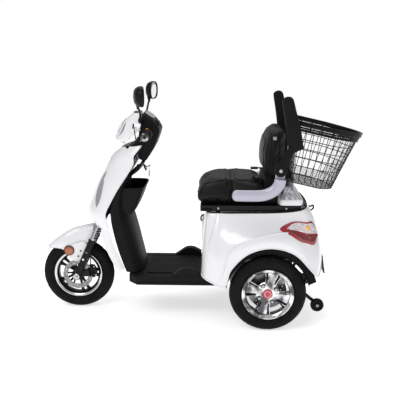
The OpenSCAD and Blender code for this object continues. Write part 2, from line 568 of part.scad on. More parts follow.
// Middle x, middle z, edge x, edge half width and edge z, from the top down
cowl_rows = smooth([
    [338, 921, 372, 62, 921], [305, 893, 378, 92, 897], [274, 862, 386, 116, 868], [256, 831, 372, 128, 834],
    [242, 797, 330, 128, 797], [236, 776, 304, 118, 776], [266, 755, 294, 84, 760]], 3);
function cowl_grid(n) = [for (r = cowl_rows) wrap_row(r[0], r[1], r[2], r[3], r[4], 0.95, n)];
module front_cowl() color([0.93, 0.93, 0.95]) panel(cowl_grid(7), -skin);
module headlight() color([0.8, 0.85, 0.9])
    panel(raised(part_of(cowl_grid(8), 4, 15, 5, 11), -sheet_gap - 3), -3);
dash_half = 99;
dash_top = [[394, 922], [450, 884], [471, 857], [485, 831], [477, 800], [456, 744], [431, 701], [408, 665]];
module dash_housing() color([0.08, 0.08, 0.08]) difference() {
    side_plate(-dash_half, 2 * dash_half)
        polygon(concat(dash_top, [[372, 672], [352, 745], [378, 828], [388, 880]]));
    side_plate(4 - dash_half, 2 * dash_half - 8)
        polygon([[396, 912], [446, 878], [466, 853], [480, 829], [472, 801], [452, 747], [428, 706], [406, 672],
            [376, 678], [357, 746], [382, 826], [393, 880]]);
    bar_y(bar_x, bar_z, bar_d / 2 + 3, -dash_half - 1, dash_half + 1);
    rod(stem_top, [bar_x, 0, bar_z], 22);
    on_fork(stem_top_s - 179) cylinder(d = stem_d + 22, h = 196);
}
// The display stands in the top of the dash, along its sloping face
module dash_display() color([0.7, 0.7, 0.75]) translate([394, 0, 926]) rotate([0, 34.5, 0]) difference() {
    translate([6, -62, 0.5]) cube([60, 124, 10]);
    translate([14, -54, 8.5]) cube([44, 108, 3]);
}
module left_grip() color([0.06, 0.06, 0.06]) grip(-1);
module throttle_grip() color([0.06, 0.06, 0.06]) grip(1);
module grip(s) scale([1, s, 1]) difference() {
    union() {
        bar_y(bar_x, bar_z, grip_d / 2, grip_in, bar_end);
        bar_y(bar_x, bar_z, grip_d / 2 + 4, grip_in, grip_in + 5);
    }
    bar_y(bar_x, bar_z, bar_d / 2 + running_gap, grip_in - 1, bar_end - 3.5);
}
perch_y = grip_in - 34;
module lever_perches() color([0.09, 0.09, 0.09]) on_bar() both_sides() difference() {
    union() {
        translate([0, perch_y + 2, 0]) rotate([-90, 0, 0]) cylinder(r = grip_d / 2 + 1, h = 30);
        translate([-56, perch_y + 6, -11]) cube([52, 22, 22]);
    }
    translate([0, perch_y, 0]) rotate([-90, 0, 0]) cylinder(r = bar_d / 2, h = 50);
    translate([-62, perch_y + 4, -5]) cube([30, 40, 10]);
    translate([-46, perch_y + 17, -20]) cylinder(r = 4, h = 40);
}
lever_run = grip_len - 8;
module lever() on_bar() {
    translate([-46, perch_y + 17, -11]) cylinder(r = 4 - running_gap, h = 22);
    translate([-46, perch_y + 17, -4.6]) cylinder(r = 9, h = 9.2);
    translate([0, perch_y, -4.5]) linear_extrude(9) polygon([[-50, 12], [-55, 30], [-78, 62],
        [-96, 34 + lever_run], [-104, 34 + lever_run], [-88, 62], [-64, 24]]);
    translate([-100, perch_y + 38 + lever_run, 0]) sphere(r = 9);
}
module left_brake_lever() color([0.3, 0.3, 0.32]) mirror([0, 1, 0]) lever();
module right_brake_lever() color([0.3, 0.3, 0.32]) lever();
module turn_switch() color([0.85, 0.55, 0.1]) on_bar()
    translate([8, -perch_y - 22, grip_d / 2 + 1.6]) cube([9, 9, 6]);
mirror_foot = [388, -126, 888];
mirror_neck = [392, -268, 962];
mirror_pin_r = 5;
module mirror_stems() color([0.06, 0.06, 0.06]) both_sides() {
    rods([[400, -dash_half - 6, 872], mirror_foot, [391, -180, 930], mirror_neck], 6);
    translate(mirror_foot) sphere(r = 13);
    translate(mirror_neck) cylinder(r = mirror_pin_r, h = 22);
    translate(mirror_neck - [0, 0, 6]) cylinder(r = 7, h = 13);
}
// The head's rings stack rearwards to the glass. It turns about the pin at the end of its stem.
module mirror_head() translate(mirror_neck) rotate([0, 0, 14]) difference() {
    union() {
        translate([0, -38, mirror_h / 2 + 8]) loft([
            for (r = [[-26, 0.30], [-20, 0.68], [-6, 0.92], [12, 1], [20, 0.97]]) let (h = mirror_h / 2 * r[1])
                ring_x(r[0], mirror_w / 2 * r[1], -h, h, 0.8)]);
        translate([0, 0, 8]) cylinder(r = 9, h = 28);
    }
    translate([0, 0, 7]) cylinder(r = mirror_pin_r + running_gap, h = 17);
}
module left_mirror() color([0.08, 0.08, 0.08]) mirror_head();
module right_mirror() color([0.08, 0.08, 0.08]) mirror([0, 1, 0]) mirror_head();

// ---- Seat ----

base_front = rear - 357;
base_len = 530;
base_half = seat_half - 7;
base_h = seat_z - seat_base_z - 2;
base_rim = 14;
module seat_frame() color([0.08, 0.08, 0.08]) {
    difference() {
        translate([base_front, -base_half, seat_base_z]) cube([base_len, 2 * base_half, base_h]);
        translate([base_front + base_rim, -base_half + base_rim, seat_base_z - 1])
            cube([base_len - 2 * base_rim, 2 * (base_half - base_rim), base_h - 2]);
        both_sides() translate([base_front - 1, -hinge_y - hinge_t, seat_base_z - 1])
            cube([base_rim + 2, 2 * hinge_t, base_h - 2]);
    }
    for (x = post_xs) translate([x - 14, -base_half + 2, seat_base_z])
        cube([28, 2 * base_half - 4, base_h - 2]);
    both_sides() bar_y(hinge_x, hinge_z, hinge_r, -hinge_y - hinge_t - 6, -hinge_y + hinge_t + 6);
    bar_y(rear + 62, back_bar_z, 10, -back_half + 30, back_half - 30);
    both_sides() rod([rear + 100, -90, seat_z - 3], [rear + 122, -90, back_z + back_h - 60], 10);
    both_sides() rod([rear + 62, -back_half + 40, back_bar_z], [rear + 108, -90, back_bar_z], 8);
}
// Ring x, half width inset, bottom and top insets of the cushion
cushion_rows = [[-382, 30, 22, 60], [-376, 16, 8, 42], [-358, 6, 0, 20], [-322, 2, 0, 6], [-200, 0, 0, 2],
    [-192, 0, 0, -6], [-90, 0, 0, -4], [-30, 6, 0, 4], [-14, 26, 14, 34]];
module seat_cushion() color([0.05, 0.05, 0.05]) loft([for (r = cushion_rows)
    ring_x(rear + r[0], seat_half - r[1], seat_z + r[2], cushion_top - r[3], 0.5)]);
// Height share, front x and rear x of the backrest
back_rows = [[0, -2, 66, 20], [0.1, -18, 74, 6], [0.45, -32, 78, 0], [0.7, -22, 84, 4], [0.9, 2, 92, 22],
    [1, 34, 84, 52]];
back_foot = 38;
function back_at(h) = back_z + back_foot + (back_h - back_foot) * h;
module backrest() color([0.05, 0.05, 0.05]) loft([for (r = back_rows)
    ring_z(back_at(r[0]), rear + r[1], rear + r[2], back_half - r[3], 0.45)]);
// Height of the basket's floor, dx behind its front corner, less a sheet's gap
function basket_foot(dx) = basket_at[2] - dx * tan(basket_lean) - 0.2;
module tail_cover() color([0.88, 0.88, 0.9]) {
    difference() {
        translate([rear + 51, -seat_half + 2, seat_z + 2]) cube([135, 2 * seat_half - 4, 31]);
        translate([rear + 40, -seat_half + 8, seat_z - 4]) cube([140, 2 * seat_half - 16, 33]);
        both_sides() translate([rear + 86, -102, seat_z]) cube([34, 24, 60]);
    }
    translate([0, 70, 0]) rotate([90, 0, 0]) linear_extrude(140)
        polygon([[rear + 128, seat_z + 33], [rear + 184, seat_z + 33], [rear + 160, basket_foot(38)],
            [rear + 138, basket_foot(16)]]);
}
arm_path = smooth([[-192, 62], [-185, 62], [-110, 61], [-30, 64], [24, 88], [50, 122], [55, 148]], 2);
// The oval section at step i of the tube's path, its front end drawn in to a blunt nose
function arm_ring(i) = let (
    p = [rear, seat_z] + arm_path[i],
    d = unit(entry(arm_path, i + 1) - entry(arm_path, i - 1)),
    k = i == 0 ? 0.55 : i == 1 ? 0.92 : 1)
    [for (a = [0 : 22.5 : 337.5]) [p[0] - d[1] * arm_tube_h / 2 * k * sin(a),
        -arm_y + arm_tube_w / 2 * k * cos(a), p[1] + d[0] * arm_tube_h / 2 * k * sin(a)]];
module armrest_tubes() color([0.72, 0.72, 0.76]) both_sides() {
    loft([for (i = [0 : len(arm_path) - 1]) arm_ring(i)]);
    translate([rear + 33, -arm_y + arm_tube_w / 2 - 8, seat_z + 120]) cube([44, 8, 76]);
    bar_y(arm_pivot[0], arm_pivot[2], 22, -arm_y + arm_tube_w / 2 - 8, -arm_y + arm_tube_w / 2);
    bar_y(arm_pivot[0], arm_pivot[2], arm_pin_d / 2, -arm_y - 26, -arm_y + arm_tube_w / 2 - 4);
    bar_y(rear + 40, seat_z + 90, 9, -arm_y + 6, -back_half + 60);
}
arm_in = arm_y - arm_tube_w / 2 + 8.6;
arm_out = arm_y + 30;
// Outlines of the link and of the pad, from the rear axle and the seat's underside
arm_link = [[40, 222], [84, 206], [116, 286], [168, 310], [166, 330], [100, 325]];
arm_pad = [[84, 326], [166, 308], [148, 420], [112, 284 + arm_pad_len], [96, 308 + arm_pad_len],
    [64, 304 + arm_pad_len], [54, 290 + arm_pad_len], [72, 440]];
module armrest() difference() {
    union() {
        bar_y(arm_pivot[0], arm_pivot[2], 31, -arm_out + 4, -arm_in);
        translate([rear, 0, seat_z]) side_plate(arm_in, arm_out - arm_in - 6) polygon(arm_link);
        translate([rear, 0, seat_z]) side_plate(arm_in, arm_out - arm_in) polygon(arm_pad);
    }
    bar_y(arm_pivot[0], arm_pivot[2], arm_pin_d / 2 + running_gap, -arm_y - 26.5, -arm_in + 1);
}
module left_armrest() color([0.06, 0.06, 0.06]) armrest();
module right_armrest() color([0.06, 0.06, 0.06]) mirror([0, 1, 0]) armrest();
module lap_belt() color([0.08, 0.08, 0.08]) translate([rear - 80, -150, cushion_top + 8]) {
    cube([52, 40, 14]);
    translate([52, 8, 3]) cube([50, 24, 5]);
}

// ---- Basket ----

module on_basket() { translate(basket_at) rotate([0, basket_lean, 0]) children(); }
// Half outline of the basket's plan at a height share h, moved out by d
function basket_plan(h, d) = let (w = 170 + (basket_half - 170) * h, c = 152, t = 245 + (basket_tip - 245) * h)
    [for (y = [-1 : 0.2 : 1]) [t + d - (t - c) * pow(abs(y), 2.4), y * (w + d)]];
function basket_ring(h, d, z) = let (plan = basket_plan(h, d), f = 2 - 44 * h)
    concat([[f - d, plan[0][1], z]], [for (p = plan) [p[0], p[1], z]], [[f - d, -plan[0][1], z]]);
basket_wall = 5;
// A floor, then a wall that follows the plan on every side
module basket() color([0.06, 0.06, 0.06]) on_basket() {
    loft([basket_ring(0, 0, 0), basket_ring(0, 0, basket_wall)]);
    wall_panel([for (z = [basket_wall - 0.5, basket_h - rim_band]) basket_ring(z / basket_h, 0, z)],
        basket_wall);
}
// A closed hoop of wall through rings, t thick inwards
module wall_panel(rings, t) {
    g = [for (j = [len(rings[0]) - 1 : -1 : 0]) [for (r = rings) r[j]]];
    loop_panel([for (row = g) [for (k = [len(row) - 1 : -1 : 0]) row[k]]], t);
}
module basket_rim() color([0.06, 0.06, 0.06]) on_basket()
    wall_panel([for (z = [basket_h - rim_band + 0.3, basket_h]) basket_ring(z / basket_h, 10, z)], 14);

// ---- Output ----

stand() frame();
stand() floor_pan();
stand() floor_mat();
stand() front_shield();
stand() side_lamps();
stand() leg_shield();
stand() ignition_lock();
stand() rear_body();
stand() wheel_liners();
stand() tail_lamps();
stand() rear_plate();
stand() battery_pack();
stand() transaxle();
stand() anti_tip_arms();
stand() rear_calipers();
stand() steering_column();
stand() handlebar();
stand() front_cowl();
stand() dash_housing();
stand() dash_display();
stand() headlight();
stand() left_grip();
stand() lever_perches();
stand() mirror_stems();
stand() turn_switch();
stand() throttle_grip();
stand() left_brake_lever();
stand() right_brake_lever();
stand() left_mirror();
stand() right_mirror();
stand() fork_lowers();
stand() fork_springs();
stand() front_fender();
stand() front_reflectors();
stand() front_caliper();
stand() front_axle();
stand() front_tyre();
stand() front_rim();
stand() front_disc();
stand() left_rear_tyre();
stand() left_rear_rim();
stand() left_wheel_cap();
stand() left_drive_hub();
stand() right_rear_tyre();
stand() right_rear_rim();
stand() right_wheel_cap();
stand() right_drive_hub();
stand() seat_frame();
stand() seat_cushion();
stand() tail_cover();
stand() backrest();
stand() armrest_tubes();
stand() left_armrest();
stand() right_armrest();
stand() basket();
stand() basket_rim();
stand() lap_belt();
stand() left_tip_wheel();
stand() right_tip_wheel();
stand() ignition_key();
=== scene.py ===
from math import atan2, copysign, cos, hypot, pi, radians, sin, sqrt

import bmesh
import bpy
import numpy as np
from mathutils import Matrix, Vector
from mathutils.bvhtree import BVHTree
from mathutils.kdtree import KDTree


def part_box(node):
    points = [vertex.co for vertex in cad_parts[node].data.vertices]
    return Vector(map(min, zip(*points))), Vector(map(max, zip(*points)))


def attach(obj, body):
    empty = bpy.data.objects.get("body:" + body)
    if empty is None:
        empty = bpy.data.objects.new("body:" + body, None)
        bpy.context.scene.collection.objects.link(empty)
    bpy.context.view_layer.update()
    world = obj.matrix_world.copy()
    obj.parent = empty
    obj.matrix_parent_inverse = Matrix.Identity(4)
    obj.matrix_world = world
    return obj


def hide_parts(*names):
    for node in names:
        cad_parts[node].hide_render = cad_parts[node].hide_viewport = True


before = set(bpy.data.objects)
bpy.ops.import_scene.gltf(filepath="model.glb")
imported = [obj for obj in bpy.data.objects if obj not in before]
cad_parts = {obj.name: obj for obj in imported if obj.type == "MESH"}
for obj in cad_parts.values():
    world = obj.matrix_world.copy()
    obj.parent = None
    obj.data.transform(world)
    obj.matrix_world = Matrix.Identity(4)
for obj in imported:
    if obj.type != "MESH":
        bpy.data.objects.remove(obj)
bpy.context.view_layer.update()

# ---------------------------------------------------------------------------
# Layout. Lengths here are in millimetres from the front axle, X rearwards, Y to the rider's
# right and Z up from the axles. at() turns them into the frame's metres.
# ---------------------------------------------------------------------------


def middle(node):
    low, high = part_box(node)
    return [(a + b) / 2 for a, b in zip(low, high)]


FRONT_AXLE = middle("front_tyre")
REAR_AXLE = middle("left_rear_tyre")
WHEELBASE = 1000 * (REAR_AXLE[0] - FRONT_AXLE[0])
HALF_TRACK = -1000 * REAR_AXLE[1]
TYRE_R = 1000 * FRONT_AXLE[2]
RAKE = radians(24.4)
AXIS = (sin(RAKE), 0, cos(RAKE))
MM = 0.001
SIDES = ((-1, "left"), (1, "right"))


def at(x, y, z):
    return Vector((FRONT_AXLE[0] + x * MM, y * MM, FRONT_AXLE[2] + z * MM))


def vec(x, y, z):
    return np.array([x, y, z], float)


def on_axis(s, y=0.0):
    """A point s up the steering axis from the front axle."""
    return vec(s * sin(RAKE), y, s * cos(RAKE))


def between(a, b, c, d, n):
    """n Catmull-Rom steps from b towards c."""
    square, cube = 2 * a - 5 * b + 4 * c - d, 3 * b - a - 3 * c + d
    return [0.5 * (2 * b + (c - a) * t + square * t**2 + cube * t**3) for t in np.arange(n) / n]


def smooth(rows, n):
    """A smooth run through every row, with n steps from one to the next."""
    rows = np.array(rows, float)
    last = len(rows) - 1
    out = []
    for i in range(last):
        out += between(rows[max(i - 1, 0)], rows[i], rows[i + 1], rows[min(i + 2, last)], n)
    return np.array(out + [rows[last]])


def blob(points, n=12):
    """A closed smooth outline through a few points."""
    p = np.array(points, float)
    out = []
    for i in range(len(p)):
        out += between(p[i - 1], p[i], p[(i + 1) % len(p)], p[(i + 2) % len(p)], n)
    return np.array(out)


def around(n):
    """n even angles round a circle."""
    return np.linspace(0, 2 * pi, n, endpoint=False)


def faced(profile, side):
    """A turned profile that looks along the axis on one side and against it on the other."""
    return [(r, side * d) for r, d in profile]


def s_pow(v, e):
    return copysign(abs(v) ** e, v)


# ---------------------------------------------------------------------------
# Mesh helpers
# ---------------------------------------------------------------------------


def link_object(name, mesh):
    ob = bpy.data.objects.new(name, mesh)
    bpy.context.scene.collection.objects.link(ob)
    return ob


def make_object(name, verts, faces):
    """A mesh object from layout points in millimetres."""
    mesh = bpy.data.meshes.new(name)
    mesh.from_pydata([at(*v) for v in verts], [], faces)
    bm = bmesh.new()
    bm.from_mesh(mesh)
    bmesh.ops.remove_doubles(bm, verts=bm.verts, dist=1e-6)
    bmesh.ops.recalc_face_normals(bm, faces=bm.faces)
    bm.to_mesh(mesh)
    bm.free()
    for p in mesh.polygons:
        p.use_smooth = True
    return link_object(name, mesh)


def add_mod(ob, kind, name, **values):
    mod = ob.modifiers.new(name, kind)
    for key, value in values.items():
        setattr(mod, key, value)
    return mod


def subdivide(ob):
    return add_mod(ob, "SUBSURF", "smooth_form", levels=1, render_levels=1)


def soften(ob, width=1.0, segments=2, angle=35):
    """Rounds the hard edges and keeps the shading crisp."""
    add_mod(ob, "BEVEL", "rounded_edges", width=width * MM, segments=segments, limit_method="ANGLE",
        angle_limit=radians(angle), harden_normals=False)
    add_mod(ob, "WEIGHTED_NORMAL", "even_shading", keep_sharp=True)
    return ob


def place(ob, body, material, *nodes, slot=None):
    """Gives a piece its material and body, and hides the CAD nodes that it stands for. slot is not used."""
    ob.data.materials.clear()
    ob.data.materials.append(material)
    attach(ob, body)
    if nodes:
        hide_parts(*nodes)
    return ob


def grid_faces(m, n, close_u=False, close_v=False):
    faces = []
    for i in range(m if close_u else m - 1):
        for j in range(n if close_v else n - 1):
            a, b = i * n + j, ((i + 1) % m) * n + j
            c, d = ((i + 1) % m) * n + (j + 1) % n, i * n + (j + 1) % n
            faces.append((a, b, c, d))
    return faces


def grid_object(name, grid, close_u=False, close_v=False):
    grid = np.array(grid, float)
    m, n = grid.shape[:2]
    return make_object(name, grid.reshape(-1, 3), grid_faces(m, n, close_u, close_v))


def orient(ob, outward):
    """Flips the faces of an open sheet so that they look along outward on the whole."""
    total = Vector((0, 0, 0))
    for p in ob.data.polygons:
        total += p.normal * p.area
    if total.dot(Vector(outward)) < 0:
        ob.data.flip_normals()
    return ob


def panel(name, grid, thickness, outward, bevel=1.2):
    """A moulded panel: a sheet through a grid of points, thickened inwards with rounded edges."""
    ob = orient(grid_object(name, grid), outward)
    subdivide(ob)
    add_mod(ob, "SOLIDIFY", "wall", thickness=thickness * MM, offset=-1.0, use_even_offset=False)
    return soften(ob, bevel)


def prism_faces(n):
    """The two ends and the sides of a solid between two outlines of n points each."""
    sides = [(i, (i + 1) % n, n + (i + 1) % n, n + i) for i in range(n)]
    return [tuple(range(n)), tuple(reversed(range(n, 2 * n)))] + sides


def loft(name, rings, caps=True):
    rings = np.array(rings, float)
    m, n = rings.shape[:2]
    faces = grid_faces(m, n, close_v=True)
    verts = list(rings.reshape(-1, 3))
    if caps:
        verts += [rings[0].mean(axis=0), rings[-1].mean(axis=0)]
        for j in range(n):
            faces.append((m * n, (j + 1) % n, j))
            faces.append((m * n + 1, (m - 1) * n + j, (m - 1) * n + (j + 1) % n))
    return make_object(name, verts, faces)


def frames_along(path):
    """A steady pair of side directions at each point of a path."""
    path = np.array(path, float)
    n = len(path)
    tangents = np.gradient(path, axis=0)
    tangents /= np.linalg.norm(tangents, axis=1)[:, None] + 1e-12
    up = vec(0, 0, 1) if abs(tangents[0][2]) < 0.9 else vec(1, 0, 0)
    side = np.cross(tangents[0], up)
    side /= np.linalg.norm(side)
    out = []
    for i in range(n):
        side = side - tangents[i] * side.dot(tangents[i])
        side /= np.linalg.norm(side) + 1e-12
        out.append((side, np.cross(side, tangents[i])))
    return out


def tube_rings(path, radius, sides=16, squash=1.0):
    path = np.array(path, float)
    radii = np.full(len(path), radius) if np.isscalar(radius) else np.array(radius, float)
    rings = []
    for p, r, (u, v) in zip(path, radii, frames_along(path)):
        rings.append([p + u * r * squash * cos(a) + v * r * sin(a) for a in around(sides)])
    return rings


def tube(name, path, radius, sides=16, squash=1.0):
    return loft(name, tube_rings(path, radius, sides, squash))


def lathe(name, profile, centre, axis=(0, 1, 0), segments=96, closed=True):
    """A turned piece. profile holds (radius, distance along the axis); centre is in layout millimetres."""
    axis = np.array(axis, float)
    axis /= np.linalg.norm(axis)
    helper = vec(0, 0, 1) if abs(axis[2]) < 0.9 else vec(1, 0, 0)
    u = np.cross(helper, axis)
    u /= np.linalg.norm(u)
    v = np.cross(axis, u)
    centre = np.array(centre, float)
    grid = []
    for a in around(segments):
        spoke = u * cos(a) + v * sin(a)
        grid.append([centre + spoke * r + axis * d for r, d in profile])
    return grid_object(name, grid, close_u=True, close_v=closed)


BOX_FACES = [(0, 1, 3, 2), (4, 6, 7, 5), (0, 4, 5, 1), (2, 3, 7, 6), (0, 2, 6, 4), (1, 5, 7, 3)]


def rounded_box(name, low, high, radius=2.0, segments=3):
    corners = [(x, y, z) for x in (low[0], high[0]) for y in (low[1], high[1]) for z in (low[2], high[2])]
    return soften(make_object(name, corners, BOX_FACES), radius, segments)


def prism(name, outline, y0, y1, radius=1.0, segments=2):
    """A side outline of (x, z) points, run from y0 to y1 along Y."""
    verts = [(x, y, z) for y in (y0, y1) for x, z in outline]
    return soften(make_object(name, verts, prism_faces(len(outline))), radius, segments)


def mirrored(ob, name):
    """The same piece on the other side of the vehicle's middle plane."""
    mesh = ob.data.copy()
    mesh.name = name
    mesh.transform(Matrix.Scale(-1, 4, Vector((0, 1, 0))))
    mesh.flip_normals()
    out = link_object(name, mesh)
    for mod in ob.modifiers:
        new = out.modifiers.new(mod.name, mod.type)
        for prop in mod.bl_rna.properties:
            if not prop.is_readonly and prop.identifier not in ("name", "type"):
                setattr(new, prop.identifier, getattr(mod, prop.identifier))
    return out


def pair(ob, name, body, material, *nodes):
    """Places a left piece and its mirror image. body may name a body for each side."""
    bodies = body if isinstance(body, tuple) else (body, body)
    other = mirrored(ob, name + "_right")
    ob.name = name + "_left"
    place(ob, bodies[0], material, *[n for n in nodes if not n.startswith("right")])
    place(other, bodies[1], material, *[n for n in nodes if n.startswith("right")])
    return ob, other

# ---------------------------------------------------------------------------
# Materials, all procedural. Patterns run on object coordinates, in metres.
# ---------------------------------------------------------------------------


class Shader:
    """A small helper that builds a Principled material's node tree."""

    def __init__(self, name, **sockets):
        self.mat = bpy.data.materials.new(name)
        self.mat.use_nodes = True
        self.tree = self.mat.node_tree
        self.bsdf = self.tree.nodes["Principled BSDF"]
        self.coords = self.tree.nodes.new("ShaderNodeTexCoord").outputs["Object"]
        self.put(self.bsdf, **sockets)

    def node(self, kind, **values):
        node = self.tree.nodes.new(kind)
        for key, value in values.items():
            setattr(node, key, value)
        return node

    def link(self, a, b):
        self.tree.links.new(a, b)

    def put(self, node, **values):
        """Sets sockets, whose names are written with _ for a space."""
        for key, value in values.items():
            node.inputs[key.replace("_", " ")].default_value = value

    def noise(self, scale, detail=3.0, rough=0.5, stretch=None):
        node = self.node("ShaderNodeTexNoise")
        self.put(node, Scale=scale, Detail=detail, Roughness=rough)
        self.link(self.scaled(stretch), node.inputs["Vector"])
        return node.outputs["Fac"]

    def scaled(self, stretch):
        if stretch is None:
            return self.coords
        mapping = self.node("ShaderNodeMapping")
        mapping.inputs["Scale"].default_value = stretch
        self.link(self.coords, mapping.inputs["Vector"])
        return mapping.outputs["Vector"]

    def voronoi(self, scale, feature="F1", output="Distance"):
        node = self.node("ShaderNodeTexVoronoi", feature=feature)
        node.inputs["Scale"].default_value = scale
        self.link(self.coords, node.inputs["Vector"])
        return node.outputs[output]

    def wave(self, scale, direction):
        node = self.node("ShaderNodeTexWave", bands_direction=direction)
        node.inputs["Scale"].default_value = scale
        self.link(self.coords, node.inputs["Vector"])
        return node.outputs["Fac"]

    def spread(self, value, low, high, source=(0.0, 1.0)):
        node = self.node("ShaderNodeMapRange")
        self.put(node, From_Min=source[0], From_Max=source[1], To_Min=low, To_Max=high)
        self.link(value, node.inputs["Value"])
        return node.outputs["Result"]

    def mix(self, value, a, b):
        node = self.node("ShaderNodeMix", data_type="RGBA")
        self.link(value, node.inputs["Factor"])
        for socket, colour in ((node.inputs[6], a), (node.inputs[7], b)):
            if isinstance(colour, tuple):
                socket.default_value = (*colour, 1.0)
            else:
                self.link(colour, socket)
        return node.outputs[2]

    def height(self):
        """The world height of the surface in metres, at rest."""
        node = self.node("ShaderNodeSeparateXYZ")
        self.link(self.coords, node.inputs[0])
        return node.outputs["Z"]

    def colour(self, value):
        self.link(value, self.bsdf.inputs["Base Color"])
        return self

    def rough(self, value):
        self.link(value, self.bsdf.inputs["Roughness"])
        return self

    def bump(self, value, strength, distance=0.001):
        node = self.node("ShaderNodeBump")
        self.put(node, Strength=strength, Distance=distance)
        self.link(value, node.inputs["Height"])
        before = self.bsdf.inputs["Normal"]
        if before.is_linked:
            self.link(before.links[0].from_socket, node.inputs["Normal"])
        self.link(node.outputs["Normal"], before)
        return self


def gloss_white():
    """Moulded plastic under white lacquer: slow tone change, faint orange peel, and painted shade that makes
    it darker towards the bottom.
    """
    s = Shader("white_lacquer", Coat_Weight=0.6, Coat_Roughness=0.06, Specular_IOR_Level=0.5)
    tone = s.mix(s.noise(3.0, 2), (0.80, 0.805, 0.83), (0.86, 0.862, 0.885))
    # Painted shade: the colour turns darker and warmer towards the bottom
    painted_low_shade = s.spread(s.height(), 0.10, 0.0, (0.2, 0.5))
    s.colour(s.mix(painted_low_shade, tone, (0.60, 0.585, 0.56)))
    s.rough(s.spread(s.noise(40, 4), 0.16, 0.27))
    return s.bump(s.noise(260, 2), 0.05, 0.0004).mat


def finish(name, dark, light, tone, gloss, *bumps, **sockets):
    """A material that drifts between two colours and two roughnesses over fine relief.

    tone holds the colour noise's scale and detail. gloss holds those of the roughness noise, then the two
    roughnesses.
    Each bump holds a noise's scale and detail, then the relief's strength and distance.
    """
    s = Shader(name, **sockets)
    s.colour(s.mix(s.noise(*tone), dark, light))
    s.rough(s.spread(s.noise(*gloss[:2]), *gloss[2:]))
    for scale, detail, strength, distance in bumps:
        s.bump(s.noise(scale, detail), strength, distance)
    return s


def grained_plastic(name, base, rough=0.5, grain=900, strength=0.25):
    light = tuple(min(1.0, c * 1.6 + 0.0015) for c in base)
    s = finish(name, base, light, (14, 5, 0.6), (60, 5, rough - 0.08, rough + 0.12), Specular_IOR_Level=0.12)
    s.bump(s.voronoi(grain), strength, 0.0004)
    return s.bump(s.noise(grain * 0.6, 3), strength * 0.6, 0.0003).mat


def painted(name, base, rough=0.35, metallic=0.0):
    """Powder coat over steel with a fine texture and small worn specks."""
    s = Shader(name, Metallic=metallic, Coat_Weight=0.06, Coat_Roughness=0.2, Specular_IOR_Level=0.2)
    worn = s.spread(s.noise(220, 6, 0.7), 0.0, 1.0, (0.66, 0.72))
    s.colour(s.mix(worn, base, tuple(c * 2.0 + 0.006 for c in base)))
    s.rough(s.spread(s.noise(90, 4), rough - 0.06, rough + 0.14))
    return s.bump(s.noise(700, 3), 0.12, 0.0003).mat


def metal(name, base, rough=0.2, brush=None):
    dark = tuple(c * 0.82 for c in base)
    s = finish(name, dark, base, (25, 5), (120, 5, rough * 0.6, rough * 1.5), Metallic=1.0)
    if brush:
        s.bump(s.noise(300, 4, 0.6, stretch=brush), 0.12, 0.0002)
    return s.bump(s.noise(500, 2), 0.03, 0.0002).mat


def tyre_rubber():
    """Carbon rubber with a dusty bloom and fine moulding texture."""
    s = Shader("tyre_rubber", Specular_IOR_Level=0.12)
    bloom = s.spread(s.noise(22, 5, 0.65), 0.0, 1.0, (0.35, 0.75))
    s.colour(s.mix(bloom, (0.0035, 0.0035, 0.0038), (0.011, 0.0108, 0.0105)))
    s.rough(s.spread(s.noise(70, 4), 0.58, 0.82))
    s.bump(s.noise(900, 4), 0.18, 0.0004)
    return s.bump(s.voronoi(420), 0.08, 0.0003).mat


def soft_rubber(name, base):
    light = tuple(c * 2 for c in base)
    return finish(name, base, light, (30, 4), (80, 4, 0.5, 0.72), (1100, 3, 0.2, 0.0003),
        Specular_IOR_Level=0.14).mat


def vinyl():
    """Black upholstery vinyl: creased leather grain, soft sheen and paler high spots."""
    s = finish("black_vinyl", (0.0032, 0.0032, 0.0034), (0.0085, 0.0084, 0.0086), (9, 5, 0.6),
        (50, 5, 0.36, 0.56), Specular_IOR_Level=0.17, Sheen_Weight=0.02, Sheen_Roughness=0.5)
    s.bump(s.voronoi(360, "DISTANCE_TO_EDGE"), 0.35, 0.0006)
    s.bump(s.noise(900, 4, 0.7), 0.14, 0.0003)
    return s.bump(s.noise(16, 4, 0.55), 0.22, 0.004).mat


def webbing():
    """Woven belt: two crossed wave patterns."""
    s = Shader("belt_webbing", Specular_IOR_Level=0.25, Sheen_Weight=0.2)
    warp, weft = s.wave(700, "X"), s.wave(520, "Y")
    s.colour(s.mix(warp, (0.008, 0.008, 0.009), (0.03, 0.03, 0.032)))
    s.rough(s.spread(s.noise(90, 3), 0.7, 0.9))
    return s.bump(warp, 0.5, 0.0005).bump(weft, 0.4, 0.0004).mat


def lens(name, base, inner, facets):
    """A moulded lamp lens: a clear coat over a faceted, tinted body."""
    s = Shader(name, Coat_Weight=1.0, Coat_Roughness=0.03, Specular_IOR_Level=0.6, Roughness=0.06)
    cells = s.voronoi(facets, output="Color")
    split = s.node("ShaderNodeSeparateColor")
    s.link(cells, split.inputs[0])
    s.colour(s.mix(split.outputs[0], base, inner))
    return s.bump(s.voronoi(facets), 0.35, 0.0012).mat


def chrome():
    """Bright plate with painted reflections: darker streaks in its colour stand for the dim surroundings that
    polished spokes mirror indoors.
    """
    s = Shader("chrome", Metallic=1.0)
    # Painted reflection: dark streaks mixed into the colour
    painted_reflection_streak = s.spread(s.noise(16, 2, 0.45, stretch=(1.0, 0.4, 1.0)), 0.0, 1.0, (0.42, 0.58))
    s.colour(s.mix(painted_reflection_streak, (0.10, 0.10, 0.105), (0.86, 0.86, 0.88)))
    s.rough(s.spread(s.noise(120, 4), 0.05, 0.12))
    return s.bump(s.noise(400, 2), 0.03, 0.0002).mat


